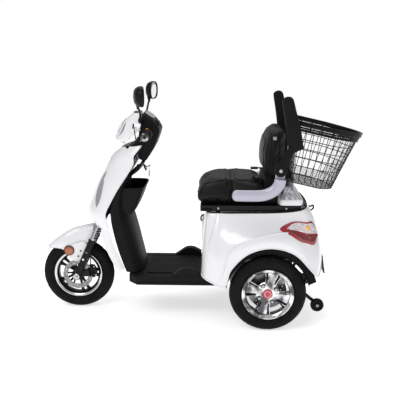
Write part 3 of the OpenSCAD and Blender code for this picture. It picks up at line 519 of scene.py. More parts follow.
def grey_painted_reflections():
    """Pale grey plastic with painted reflections: dark and pale patches in its colour stand for surroundings
    mirrored in its face.
    """
    s = Shader("grey_painted_reflections", Coat_Weight=0.7, Coat_Roughness=0.08)
    # Painted reflection: the colour drifts between dark and pale patches
    painted_reflection_patches = s.spread(s.noise(75, 6, 0.7), 0.0, 1.0, (0.40, 0.62))
    s.colour(s.mix(painted_reflection_patches, (0.16, 0.16, 0.19), (0.66, 0.66, 0.72)))
    s.rough(s.spread(s.noise(50, 4), 0.18, 0.34))
    return s.bump(s.noise(160, 4), 0.15, 0.0006).mat


def gloss_tint(name, base, rough=0.2, coat=0.5):
    dark = tuple(c * 0.88 for c in base)
    return finish(name, dark, base, (6, 4), (60, 4, rough * 0.8, rough * 1.4), (300, 2, 0.04, 0.0003),
        Coat_Weight=coat, Coat_Roughness=0.05).mat


WHITE = gloss_white()
BLACK_PLASTIC = grained_plastic("black_moulded_plastic", (0.0042, 0.0042, 0.0046))
BLACK_SMOOTH = grained_plastic("black_smooth_plastic", (0.0045, 0.0045, 0.005), 0.30, 1400, 0.10)
LINER_BLACK = grained_plastic("liner_black", (0.003, 0.003, 0.003), 0.7, 500, 0.4)
GREY_STRIP = gloss_tint("grey_strip", (0.30, 0.30, 0.335), 0.22)
BLACK_PAINT = painted("black_paint", (0.005, 0.005, 0.0055))
BLACK_ALLOY = painted("black_alloy", (0.0045, 0.0045, 0.005), 0.24, 0.2)
RUBBER = soft_rubber("soft_rubber", (0.0048, 0.0048, 0.005))
TYRE_RUBBER = tyre_rubber()
CHROME = chrome()
POLISHED = metal("polished_lip", (0.74, 0.74, 0.76), 0.16)
MACHINED = metal("machined_alloy", (0.55, 0.55, 0.57), 0.32)
DISC_STEEL = metal("disc_steel", (0.27, 0.265, 0.265), 0.32, brush=(1, 0.2, 1))
DARK_STEEL = metal("dark_steel", (0.10, 0.10, 0.11), 0.42)
CAST_ALLOY = grained_plastic("cast_alloy", (0.17, 0.17, 0.18), 0.5, 300, 0.3)
BATTERY_CASE = grained_plastic("battery_case", (0.05, 0.05, 0.055), 0.4)
VINYL = vinyl()
FOAM = soft_rubber("arm_foam", (0.0038, 0.0038, 0.004))
ARM_GREY = gloss_tint("arm_grey", (0.50, 0.49, 0.585), 0.16, 0.6)
# Dipped black coating on wire: thick, uneven and half glossy
WIRE = finish("wire_coating", (0.004, 0.004, 0.0045), (0.010, 0.010, 0.011), (60, 4), (120, 4, 0.3, 0.5),
              (350, 3, 0.25, 0.0004), Coat_Weight=0.3, Coat_Roughness=0.15).mat
RED_LENS = lens("red_lens", (0.10, 0.001, 0.004), (0.26, 0.002, 0.008), facets=170)
RED_TRIM = gloss_tint("red_trim", (0.36, 0.004, 0.016), 0.14, 0.8)
CLEAR_LENS = lens("clear_lens", (0.42, 0.36, 0.38), (0.92, 0.86, 0.88), facets=230)
AMBER_LENS = lens("amber_lens", (0.26, 0.050, 0.003), (0.48, 0.115, 0.008), facets=320)
AMBER_BULB = gloss_tint("amber_bulb", (1.0, 0.45, 0.02), 0.2, 0.8)
HEAD_LENS = lens("head_lens", (0.58, 0.58, 0.64), (0.90, 0.90, 0.94), facets=70)
DISPLAY = gloss_tint("display_cover", (0.48, 0.47, 0.54), 0.12, 0.9)
MIRROR = finish("mirror_glass", (0.78, 0.80, 0.82), (0.86, 0.88, 0.90), (8, 3), (40, 4, 0.02, 0.05),
    Metallic=1.0).mat
GREY_PAINTED_REFLECTIONS = grey_painted_reflections()
RED_CAP = gloss_tint("red_cap", (0.62, 0.004, 0.04), 0.2, 0.8)
PALE_TRIM = gloss_tint("pale_trim", (0.62, 0.60, 0.62), 0.25, 0.4)
TAG = gloss_tint("blank_tag", (0.36, 0.36, 0.42), 0.4, 0.1)
BADGE = gloss_tint("blank_badge", (0.13, 0.12, 0.14), 0.25, 0.5)
WEBBING = webbing()
SPRING_GREY = metal("spring_grey", (0.52, 0.52, 0.57), 0.26)
SEAM_THREAD = soft_rubber("seam_thread", (0.030, 0.030, 0.032))

# ---------------------------------------------------------------------------
# Front shield, side lamps and legshield
# ---------------------------------------------------------------------------

SHIELD_HALF = 195.0
# Middle x, middle z, edge x, edge share of the half width and edge z, from the top down
SHIELD_ROWS = [
    (264, 728, 395, 0.80, 758), (233, 700, 350, 0.86, 702), (198, 655, 348, 0.89, 662),
    (165, 592, 320, 0.92, 612), (130, 530, 262, 0.94, 524), (98, 458, 222, 0.96, 452),
    (70, 390, 194, 0.97, 392), (76, 345, 200, 0.98, 346), (108, 304, 213, 0.98, 306)]


def wrap_row(mx, mz, ex, ey, ez, e, n):
    """A row from the left edge round the middle to the right edge."""
    row = []
    for k in range(-n, n + 1):
        a = radians(90.0 * k / n)
        row.append((mx + (ex - mx) * (1 - max(0.0, cos(a)) ** e), ey * s_pow(sin(a), e),
            mz + (ez - mz) * abs(k / n)))
    return np.array(row)


def shield_grid():
    """The shield's outside, arched below the last row but one to leave the fork its room."""
    n, steps = 20, 6
    rows = smooth(SHIELD_ROWS, steps)
    lip_from = len(rows) - 1 - steps
    grid = [wrap_row(r[0], r[1], r[2], r[3] * SHIELD_HALF, r[4], 1.1, n) for r in rows]
    share = np.array([max(0.08, min(1.0, (abs(k) / n - 0.34) / 0.2)) for k in range(-n, n + 1)])[:, None]
    for i in range(lip_from + 1, len(rows)):
        grid[i] = grid[lip_from] + (grid[i] - grid[lip_from]) * share
    return np.array(grid)


def grid_point(grid, u, v):
    """A point on a grid at shares u down its rows and v along them."""
    i, j = u * (len(grid) - 1), v * (grid.shape[1] - 1)
    a, b = min(int(i), len(grid) - 2), min(int(j), grid.shape[1] - 2)
    s, t = i - a, j - b
    return ((1 - s) * (1 - t) * grid[a, b] + s * (1 - t) * grid[a + 1, b] + (1 - s) * t * grid[a, b + 1]
        + s * t * grid[a + 1, b + 1])


def grid_normal(grid, u, v, outward, step=0.02):
    """The outward direction of a grid there. outward is a rough guess at it."""
    du = grid_point(grid, min(1, u + step), v) - grid_point(grid, max(0, u - step), v)
    dv = grid_point(grid, u, min(1, v + step)) - grid_point(grid, u, max(0, v - step))
    n = np.cross(du, dv)
    n /= np.linalg.norm(n)
    return n if n.dot(outward) > 0 else -n


def patch(name, grid, outline, lift, thickness, outward, rings=8, bevel=0.8):
    """A moulding with a curved outline that lies on a grid. outline holds (u, v) shares, in order."""
    outline = np.array(outline, float)
    centre = outline.mean(axis=0)
    verts, faces = [], []
    n = len(outline)
    for r in range(rings):
        share = 1 - r / rings
        for uv in outline:
            u, v = centre + (uv - centre) * share
            rise = lift + thickness * min(1.0, (r + 0.35) / 1.5) if r else lift
            verts.append(grid_point(grid, u, v) + grid_normal(grid, u, v, outward) * rise)
    verts.append(grid_point(grid, *centre) + grid_normal(grid, *centre, outward) * (lift + thickness))
    for r in range(rings - 1):
        for k in range(n):
            faces.append((r * n + k, r * n + (k + 1) % n, (r + 1) * n + (k + 1) % n, (r + 1) * n + k))
    for k in range(n):
        faces.append(((rings - 1) * n + k, (rings - 1) * n + (k + 1) % n, rings * n))
    ob = orient(make_object(name, verts, faces), outward)
    add_mod(ob, "SOLIDIFY", "body", thickness=(thickness + 1.0) * MM, offset=-1.0)
    if bevel:
        soften(ob, bevel, 1)
    return ob


def bead(name, grid, us, vs, n, radius, body, material):
    """A rolled edge along a line of a grid, from its first (u, v) to its last in n steps."""
    path = [grid_point(grid, u, v) for u, v in zip(np.linspace(*us, n), np.linspace(*vs, n))]
    place(tube(name, path, radius, 10), body, material)


SHIELD = shield_grid()


def front_shield():
    ob = panel("shield_skin", SHIELD, 3.2, (-1, 0, 0.2), bevel=1.4)
    place(ob, "chassis", WHITE, "front_shield")
    # The raised nose rib down the middle, and the folded lip round the rear edges
    rib = blob([(0.04, 0.5), (0.16, 0.555), (0.34, 0.575), (0.52, 0.56), (0.66, 0.5), (0.52, 0.44),
        (0.34, 0.425), (0.16, 0.445)])
    place(patch("shield_nose_rib", SHIELD, rib, -0.4, 2.6, (-1, 0, 0.2)), "chassis", WHITE)
    badge = blob([(0.125, 0.485), (0.125, 0.515), (0.225, 0.522), (0.245, 0.5), (0.225, 0.478)], 8)
    place(patch("shield_badge", SHIELD, badge, 2.4, 1.4, (-1, 0, 0.2), 5), "chassis", BADGE)
    for side, v in (("left", 0), ("right", 1)):
        bead("shield_edge_" + side, SHIELD, (0.02, 0.94), (v, v), 40, 3.0, "chassis", WHITE)


# Strips beside the front wheel: front x, front share of the half width, rear x and the two heights
LEG_ROWS = smooth([(162, 0.84, 213, 302, 302), (185, 0.94, 229, 212, 238), (224, 0.99, 262, 126, 160),
                   (262, 1.02, 293, 72, 88)], 6)


def shield_leg_grid():
    grid = []
    for x0, share, x1, z0, z1 in LEG_ROWS:
        grid.append([(x0 + (x1 - x0) * t, -SHIELD_HALF * share - 6 * sin(pi * t)
            + (share - 0.99) * SHIELD_HALF * t, z0 + (z1 - z0) * t) for t in np.linspace(0, 1, 9)])
    return np.array(grid)


def shield_legs():
    ob = panel("shield_leg", shield_leg_grid(), 3.2, (0, -1, 0), bevel=1.2)
    pair(ob, "shield_leg", "chassis", WHITE)


def side_lamps():
    """Long leaf-shaped grey strips, each in a dark gap of its own."""
    leaf = [(0.36, 0.335), (0.43, 0.30), (0.50, 0.235), (0.60, 0.185), (0.685, 0.18), (0.66, 0.235),
        (0.585, 0.31), (0.49, 0.355), (0.41, 0.375)]
    for side in ("left", "right"):
        uv = [(u, v if side == "left" else 1 - v) for u, v in leaf]
        outward = (-0.8, -0.6 if side == "left" else 0.6, 0.2)
        centre = np.mean(uv, axis=0)
        wide = blob([centre + (np.array(p) - centre) * 1.07 for p in uv])
        place(patch("lamp_gap_" + side, SHIELD, wide, -0.6, 1.0, outward, 6), "chassis", LINER_BLACK)
        strip = patch("lamp_strip_" + side, SHIELD, blob(uv), 0.2, 3.4, outward, 8, 1.0)
        place(strip, "chassis", GREY_STRIP, "side_lamps")


LEG_SHIELD_ROWS = [(394, 362, 0.62, 652), (374, 350, 0.76, 616), (318, 296, 0.84, 570),
    (298, 252, 0.87, 500), (298, 222, 0.89, 420), (322, 222, 0.90, 350), (345, 236, 0.90, 270),
    (368, 262, 0.91, 170), (392, 300, 0.92, 62)]
POCKET_X, POCKET_HALF, POCKET_Z = (276, 400), 150, (388, 522)


def legshield():
    rows = smooth(LEG_SHIELD_ROWS, 6)
    grid = [wrap_row(r[0], r[3], r[1], r[2] * SHIELD_HALF, r[3], 0.7, 20) for r in rows]
    place(panel("legshield_skin", grid, 3.2, (1, 0, 0), bevel=1.2), "chassis", BLACK_PLASTIC, "leg_shield")
    # Open storage pocket with a rolled rim
    x0, x1 = POCKET_X
    z0, z1 = POCKET_Z
    y = POCKET_HALF
    outline = [(-y, x0 + 2), (-y, x0 + 50), (-y + 8, x1 - 26), (-y + 40, x1 - 3), (0, x1), (y - 40, x1 - 3),
        (y - 8, x1 - 26), (y, x0 + 50), (y, x0 + 2)]
    outline = smooth(outline, 5)
    # The wall tapers in towards its foot, which blends into the legshield
    wall = []
    for z, share in ((z0 - 8, 0.34), (z0, 0.42), (z0 + 20, 0.56), (z0 + 60, 0.74), (z0 + 110, 0.92),
            (z1 - 6, 1), (z1, 1)):
        wall.append([(x0 + 24 + (x - x0 - 24) * share if x > x0 + 24 else x, yy * (0.9 + 0.1 * share), z)
            for yy, x in outline])
    place(panel("pocket_wall", wall, 3.6, (1, 0, 0), bevel=1.2), "chassis", BLACK_PLASTIC)
    place(rounded_box("pocket_floor", (x0, -y + 16, z0 + 16), (x1 - 60, y - 16, z0 + 20), 1.4), "chassis",
        BLACK_PLASTIC)
    rim = [(x, yy, z1) for yy, x in outline]
    place(tube("pocket_rim", rim, 3.4, 10), "chassis", BLACK_SMOOTH)
    # Moulded ribs down the legshield beside the pocket
    for s in (-1, 1):
        for k, offset in enumerate((128, 138, 148)):
            points = [grid_point(np.array(grid), u, 0.5 + s * offset / 400) + vec(1.2, 0, 0)
                for u in np.linspace(0.36, 0.94, 24)]
            name = f"legshield_rib_{'right' if s > 0 else 'left'}_{k}"
            place(tube(name, points, 2.2, 8), "chassis", BLACK_PLASTIC)


def screw(name, centre, axis, body, radius, material, slot=None):
    """A domed screw head with a round socket."""
    head = lathe(name, [(radius, -1.5), (radius, 1.2), (radius * 0.8, 2.8), (radius * 0.45, 3.3),
        (radius * 0.42, 1.2), (0.01, 1.1)], centre, axis, 24, closed=False)
    place(soften(head, 0.3, 1), body, material, slot=slot)


def ignition():
    lock_at = vec(385, 40, 606)
    tilt = radians(68)
    axis = vec(sin(tilt), 0, cos(tilt))
    barrel = lathe("lock_barrel", [(15, -1.8), (15, 8.6), (13.6, 10), (8.2, 10), (7.4, 9.4), (7.4, 2),
        (3, 2)], lock_at, axis, 64)
    place(soften(barrel, 0.4), "chassis", MACHINED, "ignition_lock")
    ring = lathe("lock_ring", [(14.8, 0), (14.8, 7), (18, 6), (19.5, 2), (19.5, 0)], lock_at - axis * 1,
        axis, 64)
    place(soften(ring, 0.4), "chassis", BLACK_SMOOTH)
    core = lathe("key_core", [(0.4, 2.2), (7.1, 2.2), (7.1, 11.5), (2, 11.8), (0.4, 11.8)], lock_at, axis, 48)
    place(core, "key", MACHINED, "ignition_key")
    base, side = lock_at + axis * 11, vec(0, 1, 0)
    blade = [(-3.5, 0), (-3.5, 8), (-10.5, 11), (-11, 20), (-8, 24), (8, 24), (11, 20), (10.5, 11),
        (3.5, 8), (3.5, 0)]
    up = np.cross(axis, side)
    verts = [base + side * a + axis * b + up * t for t in (-1.8, 1.8) for a, b in blade]
    place(soften(make_object("key_bow", verts, prism_faces(len(blade))), 1.0), "key", BLACK_SMOOTH)
    # The ring and the spare key that hang from the bow
    hang = lock_at + axis * 27
    loop = [hang + vec(0, 13 * sin(a), -13 + 13 * cos(a)) for a in np.linspace(0, 2 * pi, 40)]
    place(tube("key_ring", loop, 1.1, 8), "key", CHROME, slot="machined")
    for k, (dy, tip) in enumerate(((-3, 62), (4, 58))):
        low, high = hang + vec(-2 + 2.1 * k, dy - 7, -tip), hang + vec(-0.2 + 2.1 * k, dy + 7, -27)
        place(rounded_box(f"spare_key_{k}", low, high, 0.8), "key", (BLACK_SMOOTH, MACHINED)[k],
            slot="machined")


front_shield()
shield_legs()
side_lamps()
legshield()
ignition()

# ---------------------------------------------------------------------------
# Steering head: cowl, dash, handlebar, controls and mirrors
# ---------------------------------------------------------------------------

COWL_ROWS = [
    (338, 921, 372, 62, 921), (305, 893, 378, 92, 897), (274, 862, 386, 116, 868), (256, 831, 372, 128, 834),
    (242, 797, 330, 128, 797), (236, 776, 304, 118, 776), (266, 755, 294, 84, 760)]
BAR_X, BAR_Z, BAR_PITCH = 429.0, 822.0, radians(-29.1)
BAR_END, GRIP_LENGTH, GRIP_R, BAR_R = 330.0, 116.0, 18.0, 11.0
GRIP_IN = BAR_END - GRIP_LENGTH
PERCH_Y = GRIP_IN - 34
DASH_HALF = 99.0
DASH_TOP = [(394, 922), (450, 884), (471, 857), (485, 831), (477, 800), (456, 744), (431, 701), (408, 665)]
DASH_FRONT = [(372, 672), (352, 745), (378, 828), (388, 880)]


def on_bar(x, y, z):
    """A point in the handlebar's own tilted frame, in layout millimetres."""
    c, s = cos(BAR_PITCH), sin(BAR_PITCH)
    return vec(BAR_X + x * c + z * s, y, BAR_Z - x * s + z * c)


def cowl():
    rows = smooth(COWL_ROWS, 7)
    grid = np.array([wrap_row(r[0], r[1], r[2], r[3], r[4], 0.95, 20) for r in rows])
    skin = panel("cowl_skin", grid, 3.2, (-1, 0, 0.2), bevel=1.3)
    place(skin, "steering", WHITE, "front_cowl")
    for k in range(2):
        bead(f"cowl_edge_{k}", grid, (0, 1), (k, k), 40, 2.4, "steering", WHITE)
    bead("cowl_top_edge", grid, (0, 0), (0, 1), 40, 2.4, "steering", BLACK_SMOOTH)
    # Headlight: a dark surround with a lens in it, and a grey running strip on each side
    surround = blob([(0.17, 0.5), (0.24, 0.60), (0.40, 0.655), (0.60, 0.65), (0.73, 0.58), (0.78, 0.5),
        (0.73, 0.42), (0.60, 0.35), (0.40, 0.345), (0.24, 0.40)])
    place(patch("headlight_surround", grid, surround, -0.4, 1.2, (-1, 0, 0.2)), "steering", BLACK_SMOOTH)
    centre = surround.mean(axis=0)
    lens_outline = centre + (surround - centre) * 0.9
    lens_piece = patch("headlight_lens", grid, lens_outline, 0.4, 5.0, (-1, 0, 0.2), 10)
    place(lens_piece, "steering", HEAD_LENS, "headlight")
    for side in ("left", "right"):
        uv = [(0.30, 0.285), (0.42, 0.245), (0.56, 0.235), (0.66, 0.26), (0.56, 0.275), (0.42, 0.29)]
        uv = [(u, v if side == "left" else 1 - v) for u, v in uv]
        outward = (-0.7, -0.7 if side == "left" else 0.7, 0.1)
        place(patch("running_strip_" + side, grid, blob(uv), 0.1, 2.0, outward, 6), "steering", GREY_STRIP)
    # Crease that runs back from the strip
    for side, v0 in (("left", 0.19), ("right", 0.81)):
        v1 = 0.04 if side == "left" else 0.96
        outward = (-0.5, -1 if side == "left" else 1, 0)
        line = [grid_point(grid, u, v) + grid_normal(grid, u, v, outward) * 0.3 for u,
            v in zip(np.linspace(0.6, 0.42, 20), np.linspace(v0, v1, 20))]
        place(tube("cowl_crease_" + side, line, 2.0, 8), "steering", WHITE)


def dash():
    shell = prism("dash_shell", DASH_TOP + DASH_FRONT, -DASH_HALF, DASH_HALF, 9, 4)
    place(shell, "steering", BLACK_PLASTIC, "dash_housing")
    # Raised bezel with the display in it
    slope = atan2(922 - 884, 450 - 394)
    along = vec(cos(slope), 0, -sin(slope))
    up = vec(sin(slope), 0, cos(slope))
    corner = vec(394, 0, 922)

    def plate(name, a0, a1, half, low, high, radius):
        verts, n = [], 40
        for h in (low, high):
            for k in range(n):
                t = 2 * pi * k / n
                a = (a0 + a1) / 2 + (a1 - a0) / 2 * s_pow(cos(t), 0.42)
                verts.append(corner + along * a + vec(0, half * s_pow(sin(t), 0.42), 0) + up * h)
        return soften(make_object(name, verts, prism_faces(n)), radius, 3)

    place(plate("display_bezel", 1, 68, 70, -4, 5.5, 2.5), "steering", BLACK_SMOOTH)
    place(plate("display_cover", 7, 62, 62, 0, 9.5, 2.5), "steering", DISPLAY, "dash_display")
    place(plate("display_window", 15, 54, 50, 5, 10.2, 1.0), "steering", GREY_STRIP)
    # Round control knob and two rocker switches on the rear slope
    slope2 = atan2(884 - 831, 485 - 450)
    out = vec(sin(slope2), 0, cos(slope2))
    centre = vec(466, -34, 862)
    knob = [(17, -3), (17, 6), (16, 9), (13, 10.5), (4, 10.5), (4, 9.8), (0.1, 9.8)]
    place(soften(lathe("speed_knob", knob, centre, out, 48, False), 0.5), "steering", BLACK_SMOOTH)
    for k in range(12):
        a = 2 * pi * k / 12
        side = vec(0, 1, 0) * cos(a) + np.cross(out, [0, 1.0, 0]) * sin(a)
        p = centre + side * 16.5
        place(tube(f"knob_grip_{k}", [p - out * 1, p + out * 7.5], 1.4, 6), "steering", BLACK_SMOOTH)
    for k, y in enumerate((18, 44)):
        p = vec(467, y, 862)
        place(rounded_box(f"rocker_{k}", p + [-9, -8, -8], p + [7, 8, 7], 3), "steering", BLACK_SMOOTH)
    # Rubber boot where the steering stem leaves the dash
    rings = [(34, 0), (31, 6), (35, 12), (31, 18), (34, 24), (30, 30)]
    place(lathe("stem_boot", rings, on_axis(742), AXIS, 48, False), "steering", RUBBER)


def bar():
    place(tube("handlebar_tube", [(BAR_X, y, BAR_Z) for y in np.linspace(-BAR_END + 4, BAR_END - 4, 30)],
        BAR_R, 32), "steering", BLACK_PAINT, "handlebar")
    top = on_axis(807)
    place(tube("bar_riser", [top, top + [4, 0, 4], (BAR_X, 0, BAR_Z)], 14, 24), "steering", BLACK_PAINT)
    collar = [(23, 0), (23, 12), (16, 12.5), (16, -1)]
    place(soften(lathe("stem_collar", collar, top, AXIS, 48), 0.8), "steering", BLACK_PAINT)


def grip_sleeve(name, side, body, node):
    """Moulded rubber grip: a flange, fine rings over a waisted body and a capped end."""
    profile = [(BAR_R, GRIP_IN), (GRIP_R + 5, GRIP_IN), (GRIP_R + 5, GRIP_IN + 4), (GRIP_R - 1, GRIP_IN + 7)]
    y = GRIP_IN + 10
    while y < BAR_END - 12:
        waist = GRIP_R - 1.2 * cos(2 * pi * (y - GRIP_IN) / GRIP_LENGTH * 2)
        profile += [(waist, y), (waist + 0.4, y + 1.2), (waist + 0.4, y + 3.0), (waist - 0.9, y + 3.8),
            (waist - 0.9, y + 5.0)]
        y += 5.6
    profile += [(GRIP_R + 1, BAR_END - 8), (GRIP_R + 2, BAR_END - 5), (GRIP_R, BAR_END - 1),
        (GRIP_R - 5, BAR_END), (BAR_R, BAR_END)]
    ob = lathe(name, faced(profile, side), (BAR_X, 0, BAR_Z), (0, 1, 0), 72, False)
    place(ob, body, RUBBER, node)
    # Bright end plug with a dark socket
    plug = [(GRIP_R + 2.5, BAR_END - 3), (GRIP_R + 2.5, BAR_END + 1.5), (GRIP_R - 1, BAR_END + 4),
        (8, BAR_END + 4.5), (7, BAR_END + 1.5), (0.1, BAR_END + 1.5)]
    cap = lathe(name + "_plug", faced(plug, side), (BAR_X, 0, BAR_Z), (0, 1, 0), 64, False)
    place(soften(cap, 0.4), body, CHROME)
    dot = lathe(name + "_socket", [(7, side * (BAR_END + 1.5)), (6.5, side * (BAR_END + 2)),
        (0.1, side * (BAR_END + 2))], (BAR_X, 0, BAR_Z), (0, 1, 0), 32, False)
    place(dot, body, BLACK_SMOOTH)


def controls():
    for s, name in SIDES:
        y0, y1 = PERCH_Y - 2, PERCH_Y + 34
        profile = [(BAR_R, y0), (GRIP_R + 3, y0), (GRIP_R + 7, y0 + 5), (GRIP_R + 7, y1 - 6),
            (GRIP_R + 3, y1), (BAR_R, y1)]
        pod = lathe(name + "_pod", faced(profile, s), (BAR_X, 0, BAR_Z), (0, 1, 0), 48)
        place(soften(pod, 1.2), "steering", BLACK_SMOOTH, "lever_perches")
        body = [on_bar(x, s * (PERCH_Y + 17 + dy), dz) for x in (-58, -10) for dy in (-11, 11)
            for dz in (-12, 12)]
        place(soften(make_object(name + "_perch", body, BOX_FACES), 4, 3), "steering", BLACK_SMOOTH)
        # Lever: a curved blade with a ball on its end, turning on a pin in the perch
        blade = [(-46, 17), (-54, 30), (-72, 56), (-84, 84), (-92, 112), (-97, 134), (-100, 146)]
        path = [on_bar(x, s * (PERCH_Y + y), 0) for x, y in smooth(blade, 5)]
        radii = np.interp(np.linspace(0, 1, len(path)), [0, 0.15, 0.5, 1], [5.5, 6.6, 5.2, 4.2])
        lever_body = name + "_lever"
        place(tube(name + "_lever_blade", path, radii, 20, 1.25), lever_body, BLACK_ALLOY,
            name + "_brake_lever")
        ball = [(8.8 * sin(a), -8.8 * cos(a)) for a in np.linspace(0.02, pi - 0.02, 16)]
        place(lathe(name + "_lever_ball", ball, on_bar(-100, s * (PERCH_Y + 38 + GRIP_LENGTH - 8), 0),
            (0, 1, 0), 32, False), lever_body, BLACK_ALLOY)
        pivot_axis = on_bar(0, 0, 1) - on_bar(0, 0, 0)
        pin = [(0.1, -14.5), (5.5, -14.5), (6, -13), (6, 13), (5.5, 14.5), (2.4, 14.5), (2.2, 13.5),
            (0.1, 13.5)]
        place(lathe(name + "_lever_pin", pin, on_bar(-46, s * (PERCH_Y + 17), 0), pivot_axis, 32, False),
            lever_body, MACHINED)
    # Switch pod beside the left grip with its amber slider and two dark buttons
    place(rounded_box("switch_pod", on_bar(-14, -PERCH_Y - 33, 0) - [0, 0, 20],
        on_bar(16, -PERCH_Y - 3, 8) + [0, 0, 12], 5), "steering", BLACK_SMOOTH)
    at0 = on_bar(12.5, -PERCH_Y - 17.5, GRIP_R + 4.6)
    place(rounded_box("turn_slider", at0 - [6, 4.5, 4], at0 + [5, 4.5, 4.5], 1.6), "turn_switch",
        AMBER_BULB, "turn_switch")
    for k in range(2):
        p = on_bar(19, -PERCH_Y - 10 - 14 * k, 2)
        place(rounded_box(f"switch_button_{k}", p - [3, 4, 4], p + [4, 4, 4], 1.6), "steering", BLACK_PLASTIC)


def cables():
    """Brake cables from the levers round to the stem, as the vehicle holds them."""
    for s, name in SIDES:
        start = on_bar(-56, s * (PERCH_Y + 6), 0)
        points = [start, start + [-14, s * -10, -2], (352, s * 150, 868), (344, s * 118, 838),
            (352, s * 92, 800), (356, s * 62, 762)]
        place(tube(name + "_brake_cable", smooth(points, 8), 2.6, 10), "steering", BLACK_SMOOTH)
        collar = [start + [2, 0, 0], start + [-10, s * -7, -1.5]]
        place(tube(name + "_cable_adjuster", collar, 4.2, 12), "steering", MACHINED)


MIRROR_FOOT, MIRROR_NECK = (388, 126, 888), (392, 268, 962)
MIRROR_W, MIRROR_H = 120.0, 104.0


def mirrors():
    for s, name in SIDES:
        foot = np.array(MIRROR_FOOT) * [1, s, 1]
        neck = np.array(MIRROR_NECK) * [1, s, 1]
        path = smooth([(398, s * 96, 870), foot, (391, s * 180, 930), (392, s * 232, 954), neck], 6)
        place(tube(name + "_mirror_stem", path, 5.8, 20), "steering", BLACK_PAINT, "mirror_stems")
        place(tube(name + "_mirror_stub", [neck - [0, 0, 5], neck + [0, 0, 7]], 7.0, 20), "steering",
            BLACK_PAINT)
        boot = [(8, 26), (9.5, 20), (12, 12), (13.5, 4), (15.5, -4), (15.5, -8)]
        stem_dir = vec(391, s * 180, 930) - foot
        place(lathe(name + "_mirror_boot", boot, foot, stem_dir, 40, False), "steering", RUBBER)
        collar = [(6.2, 24), (8.2, 24), (8.2, 30), (6.2, 30)]
        place(soften(lathe(name + "_mirror_nut", collar, foot, stem_dir, 6), 0.6), "steering", CHROME)
        # Head: a bulging shell open at the rear, with a bevelled glass set into its rim
        turn = radians(14) * -s
        across = vec(-sin(turn), cos(turn), 0)
        back = vec(cos(turn), sin(turn), 0)
        middle_of_head = neck + across * (s * 38) + vec(0, 0, MIRROR_H / 2 + 8)

        def ring(depth, scale):
            out = []
            for a in around(48):
                y = MIRROR_W / 2 * scale * s_pow(cos(a), 0.8)
                z = MIRROR_H / 2 * scale * s_pow(sin(a), 0.8)
                out.append(middle_of_head + back * depth + across * y + vec(0, 0, z))
            return out
        shell = [ring(d, k) for d, k in ((-26, 0.06), (-25.5, 0.30), (-22, 0.60), (-14, 0.82), (-3, 0.945),
            (10, 1.0), (19, 0.985), (21, 0.955), (19.5, 0.935), (15, 0.925))]
        body = name + "_mirror"
        place(loft(body + "_shell", shell, caps=False), body, BLACK_SMOOTH, body)
        glass = [ring(15.5, 0.93), ring(17.6, 0.905), ring(17.9, 0.6), ring(18.0, 0.02)]
        place(loft(body + "_glass", glass), body, MIRROR)
        socket = [(9, 8), (10, 12), (11.5, 24), (13, 40)]
        place(lathe(body + "_socket", socket, neck, (0, 0, 1), 32, False), body, BLACK_SMOOTH)


cowl()
dash()
bar()
grip_sleeve("left_grip_sleeve", -1, "steering", "left_grip")
grip_sleeve("throttle_sleeve", 1, "throttle", "throttle_grip")
controls()
cables()
mirrors()

# ---------------------------------------------------------------------------
# Fork, fender and front brake
# ---------------------------------------------------------------------------

FORK_W, STANCHION_R = 140.0, 13.0
LOWER_R = STANCHION_R + 6
SPRING_BOTTOM, SPRING_LENGTH = 232.0, 128.0
CROWN_S = SPRING_BOTTOM + SPRING_LENGTH + 4


